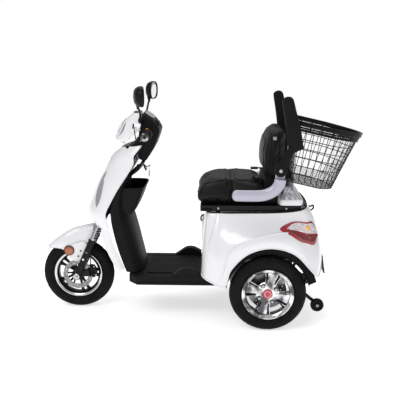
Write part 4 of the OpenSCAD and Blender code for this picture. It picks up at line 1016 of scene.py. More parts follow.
def fork():
    for s, name in SIDES:
        y = s * FORK_W / 2
        profile = [(LOWER_R - 4, -16), (LOWER_R, -12), (LOWER_R, 60), (LOWER_R + 1.5, 64),
            (LOWER_R + 1.5, 70), (LOWER_R, 74), (LOWER_R, SPRING_BOTTOM - 14),
            (LOWER_R + 2.5, SPRING_BOTTOM - 10), (LOWER_R + 2.5, SPRING_BOTTOM - 2),
            (LOWER_R, SPRING_BOTTOM), (STANCHION_R + 0.5, SPRING_BOTTOM)]
        leg = lathe(name + "_fork_leg", profile, on_axis(0, y), AXIS, 48, False)
        place(soften(leg, 0.6), "fork", BLACK_ALLOY, "fork_lowers")
        boss = [(8, y - s * 19), (22, y - s * 19), (22, y + s * 17), (20, y + s * 19), (8, y + s * 19)]
        place(soften(lathe(name + "_axle_boss", boss, (0, 0, 0), (0, 1, 0), 48), 1.2), "fork", BLACK_ALLOY)
        nut_face = s * (FORK_W / 2 + LOWER_R)
        nut = [(7, nut_face), (13, nut_face), (13, nut_face + s * 8), (11.5, nut_face + s * 9),
            (7, nut_face + s * 9)]
        place(soften(lathe(name + "_axle_nut", nut, (0, 0, 0), (0, 1, 0), 6), 0.6), "fork", MACHINED,
            "front_axle")
        end = [(7.4, nut_face), (7.4, nut_face + s * 10), (6, nut_face + s * 11), (0.1, nut_face + s * 11)]
        place(lathe(name + "_axle_end", end, (0, 0, 0), (0, 1, 0), 32, False), "fork", MACHINED)
        washer = [(7.5, nut_face - s * 1), (17, nut_face - s * 1), (17, nut_face + s * 1.4),
            (7.5, nut_face + s * 1.4)]
        place(lathe(name + "_washer", washer, (0, 0, 0), (0, 1, 0), 32), "fork", CHROME, slot="machined")
        for k, up in enumerate((112, 158)):
            screw(f"{name}_fender_bolt_{k}", on_axis(up, y + s * (LOWER_R - 1)) + [-3, 0, 0], (0, s, 0),
                "fork", 7, CHROME, slot="machined")
        # Coil spring round the inner tube, over a grey sleeve
        turns, steps = 8.5, 26
        coil = []
        for i in range(int(turns * steps) + 1):
            a = 2 * pi * i / steps
            d = SPRING_BOTTOM + 5 + (SPRING_LENGTH - 8) * i / (turns * steps)
            coil.append(on_axis(d, y) + vec(cos(a) * cos(RAKE), sin(a),
                -cos(a) * sin(RAKE)) * (LOWER_R - 2.8))
        place(tube(name + "_spring", coil, 3.4, 10), "fork", SPRING_GREY, "fork_springs")
        sleeve = [(STANCHION_R + 1.4, SPRING_BOTTOM + 1), (STANCHION_R + 1.4, SPRING_BOTTOM + SPRING_LENGTH)]
        place(lathe(name + "_spring_sleeve", sleeve, on_axis(0, y), AXIS, 32, False), "fork", SPRING_GREY)
        place(tube(name + "_inner_tube", [on_axis(d, y) for d in (97, CROWN_S + 9)], STANCHION_R, 32),
            "steering", CHROME, "steering_column", slot="disc_steel")
        cap = [(14, CROWN_S), (19, CROWN_S), (19, CROWN_S + 16), (17, CROWN_S + 18), (6, CROWN_S + 18.5),
            (6, CROWN_S + 16), (0.1, CROWN_S + 16)]
        place(soften(lathe(name + "_crown_cap", cap, on_axis(0, y), AXIS, 40, False), 0.8), "steering",
            BLACK_ALLOY)
    outline = [(-19, -70), (-23, 0), (-19, 70), (19, 70), (23, 0), (19, -70)]
    crown = [[on_axis(d, y) + vec(x * cos(RAKE), 0, -x * sin(RAKE)) for x, y in outline]
        for d in (CROWN_S, CROWN_S + 18)]
    place(soften(loft("fork_crown", crown), 3, 3), "steering", BLACK_ALLOY)
    place(tube("steering_stem", [on_axis(d) for d in (CROWN_S + 4, 806)], 17, 40), "steering", BLACK_PAINT)
    place(tube("axle_rod", [(0, y, 0) for y in (-FORK_W / 2 - 10, FORK_W / 2 + 10)], 7.4, 24), "fork",
        MACHINED)


FENDER_ROWS = [(-168, 162, -160, 34, 150), (-131, 197, -126, 52, 160), (-66, 240, -68, 56, 148),
    (-25, 262, -28, 52, 90), (16, 274, 8, 47.5, 98), (60, 284, 56, 47.5, 185), (100, 290, 96, 46, 235)]


def fender():
    grid = []
    for mx, mz, ex, half, ez in smooth(FENDER_ROWS, 7):
        row = wrap_row(mz, mx, ez, half, ex, 0.62, 16)
        grid.append(row[:, [2, 1, 0]])
    grid = np.array(grid)
    place(panel("fender_skin", grid, 3.2, (0, 0, 1), bevel=1.3), "fork", WHITE, "front_fender")
    for k in range(2):
        bead(f"fender_edge_{k}", grid, (0, 1), (k, k), 50, 2.2, "fork", WHITE)
    bead("fender_nose_edge", grid, (0, 0), (0, 1), 40, 2.4, "fork", WHITE)
    for s, name in SIDES:
        centre = (-41, s * 58, 146)
        rim = [(27.5, -3), (29, 0), (29, 4), (27, 6.5), (24.5, 6)]
        place(soften(lathe(name + "_reflector_rim", rim, centre, (0, s, 0), 64, False), 0.6), "fork",
            BLACK_SMOOTH)
        dome = [(25.5, 2), (25.5, 5.4), (22, 7.2), (14, 8.6), (6, 9.2), (0.1, 9.3)]
        place(lathe(name + "_reflector", dome, centre, (0, s, 0), 64, False), "fork", AMBER_LENS,
            "front_reflectors")
        # Side of the fender that runs down to the fork leg, with its two screws
        cheek = [(-61, 134), (-46, 106), (-27, 84), (14, 84), (32, 98), (46, 130), (60, 182), (40, 200),
            (-50, 172)]
        y0, y1 = sorted((s * 54, s * 57))
        place(prism(name + "_fender_cheek", cheek, y0, y1, 1.2, 2), "fork", WHITE)
        for k, (x, z) in enumerate(((24, 143), (9, 112))):
            screw(f"{name}_cheek_screw_{k}", (x, s * 57, z), (0, s, 0), "fork", 5.0, BLACK_SMOOTH)


def front_brake():
    """Caliper behind the hub, gripping the disc, and its hose up the fork leg."""
    def spin(x, z):
        a = radians(12)
        return x * cos(a) - z * sin(a), x * sin(a) + z * cos(a)

    profile = [(68, -24), (70, -34), (84, -36), (104, -30), (112, -12), (112, 20), (104, 36), (84, 42),
        (70, 36), (68, 20)]
    outline = [spin(x, z) for x, z in profile]
    for k, (y0, y1) in enumerate(((-52, -43.6), (-37, -30))):
        side = prism(f"caliper_half_{k}", outline, y0, y1, 2.4, 3)
        nodes = [] if k else ["front_caliper"]
        place(side, "fork", BLACK_ALLOY, *nodes)
    bridge = [spin(x, z) for x, z in ((92, -30), (104, -30), (112, -12), (112, 20), (104, 36), (92, 36))]
    place(prism("caliper_bridge", bridge, -50, -32, 2, 2), "fork", BLACK_ALLOY)
    for k, (x, z) in enumerate(((85, -13), (87, 19))):
        px, pz = spin(x, z)
        piston = [(13.5, -51), (13.5, -56), (11, -58.5), (0.1, -58.5)]
        place(lathe(f"caliper_piston_{k}", piston, (px, 0, pz), (0, 1, 0), 40, False), "fork", BLACK_ALLOY)
    for k, (x, z) in enumerate(((76, -29), (102, -22), (76, 33), (103, 28))):
        px, pz = spin(x, z)
        screw(f"caliper_bolt_{k}", (px, -52, pz), (0, -1, 0), "fork", 5.5, MACHINED)
    arm = [spin(x, z) for x, z in ((12, -12), (72, -20), (72, 22), (12, 16))]
    place(prism("caliper_arm", arm, -66, -54, 2, 2), "fork", BLACK_ALLOY)
    px, pz = spin(82, 40)
    hose = [(px, -50, pz), (px + 4, -52, pz + 16), (82, -60, 122), (92, -74, 190), (120, -84, 250),
        (136, -84, 282)]
    place(tube("brake_hose", smooth(hose, 8), 3.2, 10), "fork", RUBBER, slot="black_plastic")


fork()
fender()
front_brake()

# ---------------------------------------------------------------------------
# Wheels
# ---------------------------------------------------------------------------

TYRE_W = 76.0
SEAT_R = 127.0
RIM_HALF = TYRE_W / 2 - 6
FLANGE_R = SEAT_R + 11
WELL_R = SEAT_R - 14
SPOKE_TURN = 15.0
NUT_RING_R = 50.0


def tyre(name, y, x, body, node):
    """A road tyre: rounded carcass, a middle rib, shoulder blocks and slanting grooves."""
    half = TYRE_W / 2
    profile = []
    for a in np.linspace(-140, 140, 57):
        r = TYRE_R - half + half * cos(radians(a))
        d = half * sin(radians(a))
        profile.append((r, d))
    # Drawn in at the beads
    profile = [(max(r, FLANGE_R - 6), d) for r, d in profile]
    inner = [(FLANGE_R + 2, RIM_HALF - 8), (SEAT_R + 16, 14), (SEAT_R + 16, -14),
        (FLANGE_R + 2, -RIM_HALF + 8)]
    segments = 240
    grid = []
    for i in range(segments):
        a = 2 * pi * i / segments
        ring = []
        for r, d in profile + inner:
            on_tread = r > TYRE_R - 19
            if on_tread:
                side = abs(d)
                rib_groove = 11.5 < side < 14.5
                phase = (i + 1.6 * side * (1 if d > 0 else -1) / 4 + (3 if d > 0 else 0)) % 8
                cross_groove = side > 14.5 and phase < 2.2
                sipe = side < 11.5 and (i + (6 if d > 0 else 2)) % 12 < 1.2 and side > 3
                depth = 3.4 if rib_groove or cross_groove else 1.8 if sipe else 0
                r = r - depth * min(1.0, (r - (TYRE_R - 19)) / 6)
            ring.append((x + r * sin(a), y + d, r * cos(a)))
        grid.append(ring)
    ob = grid_object(name, grid, close_u=True, close_v=True)
    place(ob, body, TYRE_RUBBER, node)
    # Moulded rings on both sidewalls
    for s in (-1, 1):
        for k, (r, d) in enumerate(((TYRE_R - 26, 35.6), (TYRE_R - 44, 36.2), (FLANGE_R + 6, 33.4))):
            ring = [(r - 1.6, d - 1.2), (r - 0.8, d + 0.9), (r + 0.8, d + 0.9), (r + 1.6, d - 1.2)]
            bead = lathe(f"{name}_ring_{'rl'[s < 0]}{k}", [(rr, s * dd) for rr, dd in ring], (x, y, 0),
                (0, 1, 0), 120, False)
            place(bead, body, TYRE_RUBBER)


def valve(name, x, y, body, angle):
    a = radians(angle)
    root = vec(x + (WELL_R + 2) * cos(a), y, (WELL_R + 2) * sin(a))
    tip = root + vec(-26 * cos(a), 6, -26 * sin(a))
    place(tube(name, [root, tip], [4.5, 3.2], 16), body, RUBBER)
    place(tube(name + "_cap", [tip, tip + (tip - root) * 0.35], 3.8, 12), body, BLACK_SMOOTH)


def barrel_profile():
    return [(SEAT_R - 9, 20 - RIM_HALF), (SEAT_R, 14 - RIM_HALF), (SEAT_R, 6 - RIM_HALF),
        (FLANGE_R - 1, 5.2 - RIM_HALF), (FLANGE_R, 3 - RIM_HALF), (FLANGE_R - 2, -RIM_HALF),
        (FLANGE_R - 5, 0.4 - RIM_HALF), (WELL_R + 9, 5 - RIM_HALF), (WELL_R + 2, 12 - RIM_HALF),
        (WELL_R, 20 - RIM_HALF), (WELL_R, RIM_HALF - 20), (WELL_R + 2, RIM_HALF - 12),
        (WELL_R + 9, RIM_HALF - 5), (FLANGE_R - 5, RIM_HALF - 0.4), (FLANGE_R - 2, RIM_HALF),
        (FLANGE_R, RIM_HALF - 3), (FLANGE_R - 1, RIM_HALF - 5.2), (SEAT_R, RIM_HALF - 6),
        (SEAT_R, RIM_HALF - 14), (SEAT_R - 9, RIM_HALF - 20)]


def lip_ring(name, x, y, side, body, material):
    """The polished slanting lip at the face of a rim."""
    profile = [(FLANGE_R - 1, RIM_HALF - 2), (FLANGE_R - 1.6, RIM_HALF + 0.5), (FLANGE_R - 5, RIM_HALF + 0.8),
               (FLANGE_R - 8, RIM_HALF - 0.4), (WELL_R + 9.5, RIM_HALF - 5.2), (WELL_R + 6, RIM_HALF - 8.5)]
    ring = lathe(name, faced(profile, side), (x, y, 0), (0, 1, 0), 128, False)
    place(soften(ring, 0.5, 1, 25), body, material)


def front_wheel():
    body = "front_wheel"
    tyre("front_tyre_tread", 0, 0, body, "front_tyre")
    barrel = lathe("front_barrel", barrel_profile(), (0, 0, 0), (0, 1, 0), 128)
    place(soften(barrel, 0.6), body, BLACK_ALLOY, "front_rim")
    for s, n in ((-1, "l"), (1, "r")):
        lip_ring("front_lip_" + n, 0, 0, s, body, POLISHED)
    hub = [(7.7, -34), (24, -34), (30, -28), (30, -14), (26, -10), (26, 10), (30, 14), (30, 28), (24, 34),
        (7.7, 34)]
    place(soften(lathe("front_hub", hub, (0, 0, 0), (0, 1, 0), 64), 0.8), body, BLACK_ALLOY)
    for k in range(5):
        for s in (-1, 1):
            a = radians(72 * k + 9 * s)
            c = vec(cos(a), 0, -sin(a))
            t = vec(-sin(a), 0, -cos(a))
            rings = []
            for r, w, h in ((24, 8.5, 14), (40, 7, 11.5), (70, 6, 9.5), (98, 7, 10.5), (WELL_R + 2, 11, 14)):
                rings.append([c * r + t * w * s_pow(cos(q), 0.55) + vec(0, h * s_pow(sin(q), 0.55), 0)
                    for q in around(20)])
            place(soften(loft(f"front_spoke_{k}_{'ab'[s > 0]}", rings), 0.5, 1), body, BLACK_ALLOY)
    valve("front_valve", 0, 0, body, -160)
    # Drilled disc on its carrier
    drilled_disc("front_disc", (0, -40.2, 0), 85, 58, 3.6, body, "front_disc")
    carrier = [(16, -42), (34, -42), (34, -36), (16, -36)]
    place(soften(lathe("disc_carrier", carrier, (0, 0, 0), (0, 1, 0), 48), 0.6), body, BLACK_ALLOY)
    for k in range(5):
        a = radians(72 * k + 20)
        inner = vec(28 * cos(a), -40, 28 * sin(a))
        outer = vec(62 * cos(a + 0.16), -40, 62 * sin(a + 0.16))
        place(tube(f"carrier_arm_{k}", [inner, (inner + outer) / 2, outer], [6.5, 5, 6], 14, 0.5), body,
            BLACK_ALLOY)
        screw(f"disc_bolt_{k}", outer + [0, -2.0, 0], (0, -1, 0), body, 4.6, MACHINED)


def drilled_disc(name, centre, outer, inner, thick, body, node):
    """A brake disc: a flat ring with a wavy edge and rows of drilled holes, cut as real openings."""
    bm = bmesh.new()
    cx, cy, cz = centre
    hole = 2.7
    spots = []
    for k in range(30):
        a, r = 2 * pi * k / 30, inner + (outer - inner) * (0.28, 0.52, 0.76)[k % 3]
        spots.append((r * cos(a), r * sin(a)))

    def edge(r, wave=0.0):
        return [(cx + (r + wave * cos(12 * a)) * cos(a), cy, cz + (r + wave * cos(12 * a)) * sin(a))
            for a in around(180)]

    loops = [edge(outer, 0.8), edge(inner)]
    for hx, hz in spots:
        loops.append([(cx + hx + hole * cos(q), cy, cz + hz + hole * sin(q)) for q in around(12)])
    edges = []
    for loop in loops:
        verts = [bm.verts.new(at(*p)) for p in loop]
        edges += [bm.edges.new((verts[i], verts[(i + 1) % len(verts)])) for i in range(len(verts))]
    bmesh.ops.triangle_fill(bm, edges=edges, use_beauty=True, normal=(0, -1, 0))
    # Drop the triangles that fill the holes and the middle
    drop = []
    for f in bm.faces:
        c = f.calc_center_median()
        dx, dz = (c.x - FRONT_AXLE[0]) / MM - cx, (c.z - FRONT_AXLE[2]) / MM - cz
        in_hole = any(hypot(dx - hx, dz - hz) < hole - 0.4 for hx, hz in spots)
        if in_hole or hypot(dx, dz) < inner - 0.2:
            drop.append(f)
    bmesh.ops.delete(bm, geom=drop, context="FACES")
    mesh = bpy.data.meshes.new(name)
    bm.to_mesh(mesh)
    bm.free()
    ob = link_object(name, mesh)
    add_mod(ob, "SOLIDIFY", "thickness", thickness=thick * MM, offset=0.0)
    soften(ob, 0.35, 1)
    place(ob, body, DISC_STEEL, node)


def rear_wheel(side, name):
    body = name + "_wheel"
    x, y = WHEELBASE, side * HALF_TRACK
    tyre(name + "_rear_tread", y, x, body, name + "_rear_tyre")
    barrel = lathe(name + "_barrel", barrel_profile(), (x, y, 0), (0, 1, 0), 128)
    place(soften(barrel, 0.6), body, CHROME, name + "_rear_rim")
    for s, n in ((-1, "outer"), (1, "inner")):
        lip_ring(f"{name}_{n}_lip", x, y, s * side, body, CHROME)

    def disc(piece, profile, material, soft, *nodes):
        ob = lathe(piece, faced(profile, side), (x, y, 0), (0, 1, 0), 96, False)
        place(soften(ob, soft, 2, 30), body, material, *nodes)

    # Four broad spokes: a domed middle, drawn in towards the hub, each flanked by thin curved ridges
    for k in range(4):
        a0 = 90 * k + SPOKE_TURN
        rings = []
        for r, half, front, back in ((26, 15, 15, -8), (40, 17, 16, -6), (60, 19, 15.5, -3),
                (84, 23, 14, 0), (104, 27, 12.5, 1), (118, 31, 12, 2), (FLANGE_R - 9, 34, 17, 4)):
            ring = []
            for q in around(28):
                w = half * s_pow(cos(q), 0.6)
                d = (front + back) / 2 + (front - back) / 2 * s_pow(sin(q), 0.6)
                ring.append((r, w, d))
            rings.append(ring)
        place(spoke_piece(f"{name}_spoke_{k}", rings, a0, x, y, side), body, CHROME)
        for s in (-1, 1):
            ridge = []
            for r, off in ((34, 25), (50, 27), (70, 30), (92, 36), (110, 43), (FLANGE_R - 10, 52)):
                ridge.append([(r, s * off + 3.2 * cos(q), 9 + 5.5 * sin(q) + max(0, (r - 100) * 0.12))
                    for q in around(14)])
            place(spoke_piece(f"{name}_ridge_{k}{'ab'[s > 0]}", ridge, a0, x, y, side), body, CHROME)
            groove = []
            for r, off in ((32, 20), (60, 24), (90, 29.5), (118, 40)):
                groove.append([(r, s * off + 6 * cos(q), 1 + 5 * sin(q)) for q in around(12)])
            place(spoke_piece(f"{name}_groove_{k}{'ab'[s > 0]}", groove, a0, x, y, side), body, BLACK_ALLOY)
    disc(name + "_hub_face", [(0.5, 16), (30, 16), (40, 14), (58, 12), (63, 8), (63, -6), (0.5, -6)],
        CHROME, 0.8)
    for k in range(4):
        a = radians(90 * k + SPOKE_TURN + 45)
        nx, nz = x + NUT_RING_R * cos(a), -NUT_RING_R * sin(a)
        well = [(9, 13), (12.5, 13.4), (12.5, 15), (9.5, 15.4)]
        place(lathe(f"{name}_nut_seat_{k}", faced(well, side), (nx, y, nz), (0, 1, 0), 32, False), body,
            BLACK_ALLOY)
        nut = [(0.1, 23), (5, 23), (8, 21.5), (9.2, 19), (9.2, 12)]
        place(soften(lathe(f"{name}_wheel_nut_{k}", faced(nut, side), (nx, y, nz), (0, 1, 0), 6, False),
            0.5), body, MACHINED)
    # Centre cap: red with a pale ring and a plain domed middle
    disc(name + "_cap", [(26, 16), (26, 21), (24.5, 23.4), (18, 24.2), (17.6, 23.6)], RED_CAP, 0.5,
        name + "_wheel_cap")
    disc(name + "_cap_ring", [(18, 23.6), (17.8, 24.6), (14.6, 24.8), (14.4, 23.8)], PALE_TRIM, 0.3)
    disc(name + "_cap_dome", [(14.6, 23.4), (14, 24.2), (8, 25.2), (0.1, 25.6)], RED_CAP, 0.3)
    valve(name + "_valve", x, y, body, -42)
    # Drive side: brake disc, shaft and hub flange
    tube_out = HALF_TRACK - TYRE_W / 2 - 22
    drilled_disc(name + "_rear_disc", (x, side * (tube_out + 11.5), 0), 104, 62, 4.5, body,
        name + "_drive_hub")
    flange = [(12, tube_out + 9), (60, tube_out + 9), (62, tube_out + 14), (61, HALF_TRACK - 12),
        (50, HALF_TRACK - 4), (12, HALF_TRACK - 4)]
    ob = lathe(name + "_hub_flange", faced(flange, side), (x, 0, 0), (0, 1, 0), 72)
    place(soften(ob, 0.8), body, DARK_STEEL)
    place(tube(name + "_shaft", [(x, side * 34, 0), (x, side * (HALF_TRACK + 8), 0)], 12.4, 32), body,
        DARK_STEEL)


def spoke_piece(name, rings, angle, x, y, side):
    """A loft of (radius, offset, depth) rings, turned to its angle about the wheel's axis."""
    a = radians(angle)
    c, t = vec(cos(a), 0, -sin(a)), vec(-sin(a), 0, -cos(a))
    out = []
    for ring in rings:
        out.append([vec(x, y + side * d, 0) + c * r + t * w for r, w, d in ring])
    return soften(loft(name, out), 0.5, 1)


TIP_X, TIP_Z, TIP_Y, TIP_R = WHEELBASE + 277, -101.0, 218.0, 36.0


def tip_wheels():
    """Solid wheels of the anti-tip arms, with their dimples and bolts."""
    for s, name in SIDES:
        tread = [(6, -12), (14, -12), (16, -9), (24, -9), (26, -12), (TIP_R - 4, -12), (TIP_R - 0.6, -8),
            (TIP_R, 0), (TIP_R - 0.6, 8), (TIP_R - 4, 12), (26, 12), (24, 9), (16, 9), (14, 12), (6, 12)]
        tip = lathe(name + "_tip_tyre", tread, (TIP_X, s * TIP_Y, TIP_Z), (0, 1, 0), 64)
        place(soften(tip, 0.8), name + "_tip", RUBBER, name + "_tip_wheel")
        for k in range(6):
            turn = radians(60 * k)
            screw(f"{name}_tip_dimple_{k}", (TIP_X + 20 * cos(turn), s * (TIP_Y + 9),
                TIP_Z + 20 * sin(turn)), (0, s, 0), name + "_tip", 2.6, BLACK_SMOOTH, slot="rubber")
        screw(name + "_tip_bolt", (TIP_X, s * (TIP_Y + 14), TIP_Z), (0, s, 0), "chassis", 8, MACHINED)


front_wheel()
rear_wheel(-1, "left")
rear_wheel(1, "right")
tip_wheels()

# ---------------------------------------------------------------------------
# Floor and rear body
# ---------------------------------------------------------------------------

FLOOR_HALF, FLOOR_H = 217.0, 51.0
DECK_X0, DECK_X1 = 312.0, WHEELBASE - 270
BODY_HALF = 340.0
ARCH_X, ARCH_Z, ARCH_R = WHEELBASE + 14, 12.0, TYRE_R + 38


def floor():
    outline = [(DECK_X0 + 45, -FLOOR_HALF), (DECK_X1, -FLOOR_HALF), (DECK_X1, FLOOR_HALF),
        (DECK_X0 + 45, FLOOR_HALF), (DECK_X0, FLOOR_HALF - 50), (DECK_X0, -FLOOR_HALF + 50)]
    middle_x = (DECK_X0 + DECK_X1) / 2
    rings = []
    for inset, z in ((6, 0), (1, 4), (0, 10), (0, FLOOR_H - 3), (2, FLOOR_H)):
        rings.append([(x - copysign(inset, x - middle_x), y - copysign(inset, y), z) for x, y in outline])
    place(soften(loft("floor_board", rings), 3, 3), "chassis", BLACK_PLASTIC, "floor_pan")
    # Step strip along each side, and the raised humps before the seat body
    for s, name in SIDES:
        strip = [(DECK_X0 + 60, s * (FLOOR_HALF + 0.6), 14), (DECK_X1 - 8, s * (FLOOR_HALF + 0.6), 14)]
        place(tube(name + "_floor_strip", smooth(strip, 6), 3.2, 10), "chassis", BLACK_SMOOTH)
        hump = [(-520, 0), (-495, 16), (-450, 44), (-405, 44), (-362, 22)]
        profile = smooth(hump, 6)
        points = [(WHEELBASE + x, FLOOR_H + z) for x, z in profile] + [(WHEELBASE - 362, FLOOR_H - 1)]
        y0, y1 = sorted((s * (FLOOR_HALF - 47), s * (FLOOR_HALF - 2)))
        place(prism(name + "_floor_hump", points, y0, y1, 6, 4), "chassis", BLACK_PLASTIC)
    # Ribbed mat: a thin sheet with raised bars and a border
    x0, x1, half = DECK_X0 + 96, WHEELBASE - 380, FLOOR_HALF - 60
    place(rounded_box("mat_sheet", (x0, -half, FLOOR_H + 0.3), (x1, half, FLOOR_H + 2.6), 1.0, 2),
        "chassis", RUBBER, "floor_mat")
    x = x0 + 4
    while x < x1 - 12:
        for k, (a, b) in enumerate(((-half + 6, -52), (-46, 46), (52, half - 6))):
            place(rounded_box(f"mat_bar_{int(x)}_{k}", (x, a, FLOOR_H + 1.4), (x + 13, b, FLOOR_H + 4.2),
                1.2, 2), "chassis", RUBBER)
        x += 20
    for s in (-1, 1):
        border = [(x0 + 2, s * (half - 1.5), FLOOR_H + 3), (x1 - 2, s * (half - 1.5), FLOOR_H + 3)]
        place(tube(f"mat_border_{'lr'[s > 0]}", smooth(border, 4), 1.8, 8), "chassis", RUBBER)


def arch_pt(a):
    t = radians(a)
    return (ARCH_X - WHEELBASE + ARCH_R * cos(t), -BODY_HALF, ARCH_Z + ARCH_R * sin(t))


SIDE = -BODY_HALF
# From the middle of the front round the left side to the middle of the tail: top, shoulder, waist and hem
BODY_STATIONS = [
    [(-322, 0, 412), (-336, 0, 398), (-348, 0, 250), (-352, 0, 68)],
    [(-320, -130, 412), (-334, -140, 398), (-347, -160, 250), (-351, -150, 68)],
    [(-304, -222, 412), (-320, -236, 396), (-340, -258, 250), (-346, -268, 75)],
    [(-262, -240, 413), (-268, -256, 394), (-296, SIDE + 24, 230), (-300, SIDE + 18, 60)],
    [(-240, -242, 414), (-244, -258, 392), (-256, SIDE + 5, 210), (arch_pt(175)[0], SIDE, 40)],
    [(-200, -242, 414), (-200, -260, 388), (-215, SIDE + 1, 240), arch_pt(150)],
    [(-130, -242, 415), (-130, -260, 384), (-135, SIDE, 275), arch_pt(120)],
    [(0, -243, 417), (0, -262, 380), (0, SIDE, 305), arch_pt(90)],
    [(100, -243, 422), (110, -262, 378), (120, SIDE + 2, 285), arch_pt(60)],
    [(160, -240, 430), (180, -262, 378), (205, SIDE + 14, 235), arch_pt(30)],
    [(186, -226, 436), (222, -245, 378), (262, SIDE + 42, 215), (258, SIDE + 30, 92)],
    [(204, -185, 438), (246, -205, 378), (288, -222, 205), (284, -230, 92)],
    [(214, -95, 438), (256, -105, 370), (301, -112, 198), (306, -112, 92)],
    [(218, 0, 438), (258, 0, 368), (305, 0, 195), (312, 0, 92)]]
COLUMNS = 14


def body_grid():
    flat_rows = smooth([np.array(s, float).reshape(-1) for s in BODY_STATIONS], 6)
    rows = []
    for row in flat_rows:
        rows.append(smooth(row.reshape(-1, 3), COLUMNS // 3 + 1) + vec(WHEELBASE, 0, 0))
    return np.array(rows)


BODY = body_grid()


def rear_body():
    right = BODY[::-1][1:-1] * vec(1, -1, 1)
    ob = grid_object("rear_body_skin", np.concatenate([BODY, right]), close_u=True)
    # Faces out: away from the middle of the body
    centre = Vector(at(WHEELBASE, 0, 250))
    if sum(p.normal.dot(p.center - centre) for p in ob.data.polygons) < 0:
        ob.data.flip_normals()
    subdivide(ob)
    add_mod(ob, "SOLIDIFY", "wall", thickness=3.2 * MM, offset=-1.0)
    place(soften(ob, 1.2), "chassis", WHITE, "rear_body")
    m = len(BODY)
    for s, name in SIDES:
        flip = vec(1, -s, 1)
        # Rolled lip round the wheel arch and along the hem
        hem = [BODY[i, -1] * flip for i in range(2, m)]
        place(tube(name + "_body_hem", hem, 3.4, 10), "chassis", WHITE)
        # The flare's crease: low at the front of the arch, then up and back to the tail lamp

        def on_body(u, v, lift):
            p, q = grid_point(BODY, u, v), grid_normal(BODY, u, v, vec(0, -1, 0.2))
            return (p + q * lift) * flip
        us = np.linspace(0.27, 0.70, 40)
        vs = np.interp(us, [0.27, 0.34, 0.42, 0.5, 0.6, 0.70], [0.93, 0.80, 0.70, 0.63, 0.53, 0.42])
        crease = [on_body(u, v, 0.8) for u, v in zip(us, vs)]
        radii = np.interp(np.linspace(0, 1, 40), [0, 0.15, 0.8, 1], [0.4, 4.2, 4.2, 0.4])
        place(tube(name + "_arch_crease", crease, radii, 10), "chassis", WHITE)
        corner = [on_body(u, v, 0.6) for u, v in zip(np.interp(np.linspace(0, 1, 40), [0, 0.3, 1],
            [0.235, 0.22, 0.19]), np.linspace(0.10, 0.96, 40))]
        radii = np.interp(np.linspace(0, 1, 40), [0, 0.2, 0.8, 1], [0.3, 3.2, 3.2, 0.3])
        place(tube(name + "_corner_crease", corner, radii, 10), "chassis", WHITE)
        # Rubber seal along the body's top edge, under the seat
        seal = [BODY[i, 0] * flip + [0, 0, 1.5] for i in range(0, m)]
        place(tube(name + "_seat_seal", seal, 4.0, 10), "chassis", RUBBER)
    # An inspection cover on the front face, in the body's white
    place(rounded_box("front_cover", (WHEELBASE - 352.5, -86, 170), (WHEELBASE - 343, 86, 330), 4),
        "chassis", WHITE)


def liners():
    for s, name in SIDES:
        grid = []
        for a in np.linspace(radians(12), radians(168), 48):
            row = []
            for k, y in enumerate(np.linspace(BODY_HALF - 4, BODY_HALF - 100, 14)):
                r = TYRE_R + 15 + (1.6 if k % 2 else 0)
                row.append((WHEELBASE + r * cos(a), s * y, r * sin(a)))
            grid.append(row)
        ob = orient(grid_object(name + "_liner", grid), (0, 0, 1))
        add_mod(ob, "SOLIDIFY", "wall", thickness=2.4 * MM, offset=1.0)
        place(soften(ob, 0.6), "chassis", LINER_BLACK, "wheel_liners")
        # Web that fills the gap between liner and arch edge
        web = []
        for a in np.linspace(radians(14), radians(172), 48):
            inner = (WHEELBASE + (TYRE_R + 15) * cos(a), s * (BODY_HALF - 6), (TYRE_R + 15) * sin(a))
            outer = (ARCH_X + (ARCH_R + 3) * cos(a), s * (BODY_HALF - 5), ARCH_Z + (ARCH_R + 3) * sin(a))
            web.append([inner, outer])
        sheet = orient(grid_object(name + "_arch_web", web), (0, s, 0))
        add_mod(sheet, "SOLIDIFY", "wall", thickness=2.0 * MM, offset=-1.0)
        place(sheet, "chassis", LINER_BLACK)


def on_side(x, z):
    """The (u, v) share of the body grid whose point lies at this x and z, seen from the side."""
    m, n = BODY.shape[:2]
    gap = np.hypot(BODY[:, :, 0] - WHEELBASE - x, BODY[:, :, 2] - z)
    i, j = np.unravel_index(np.argmin(gap), gap.shape)
    best, spot = 1e9, (i / (m - 1), j / (n - 1))
    for u in np.linspace(max(0, i - 1), min(m - 1, i + 1), 13):
        for v in np.linspace(max(0, j - 1), min(n - 1, j + 1), 13):
            p = grid_point(BODY, u / (m - 1), v / (n - 1))
            d = hypot(p[0] - WHEELBASE - x, p[2] - z)
            if d < best:
                best, spot = d, (u / (m - 1), v / (n - 1))
    return spot


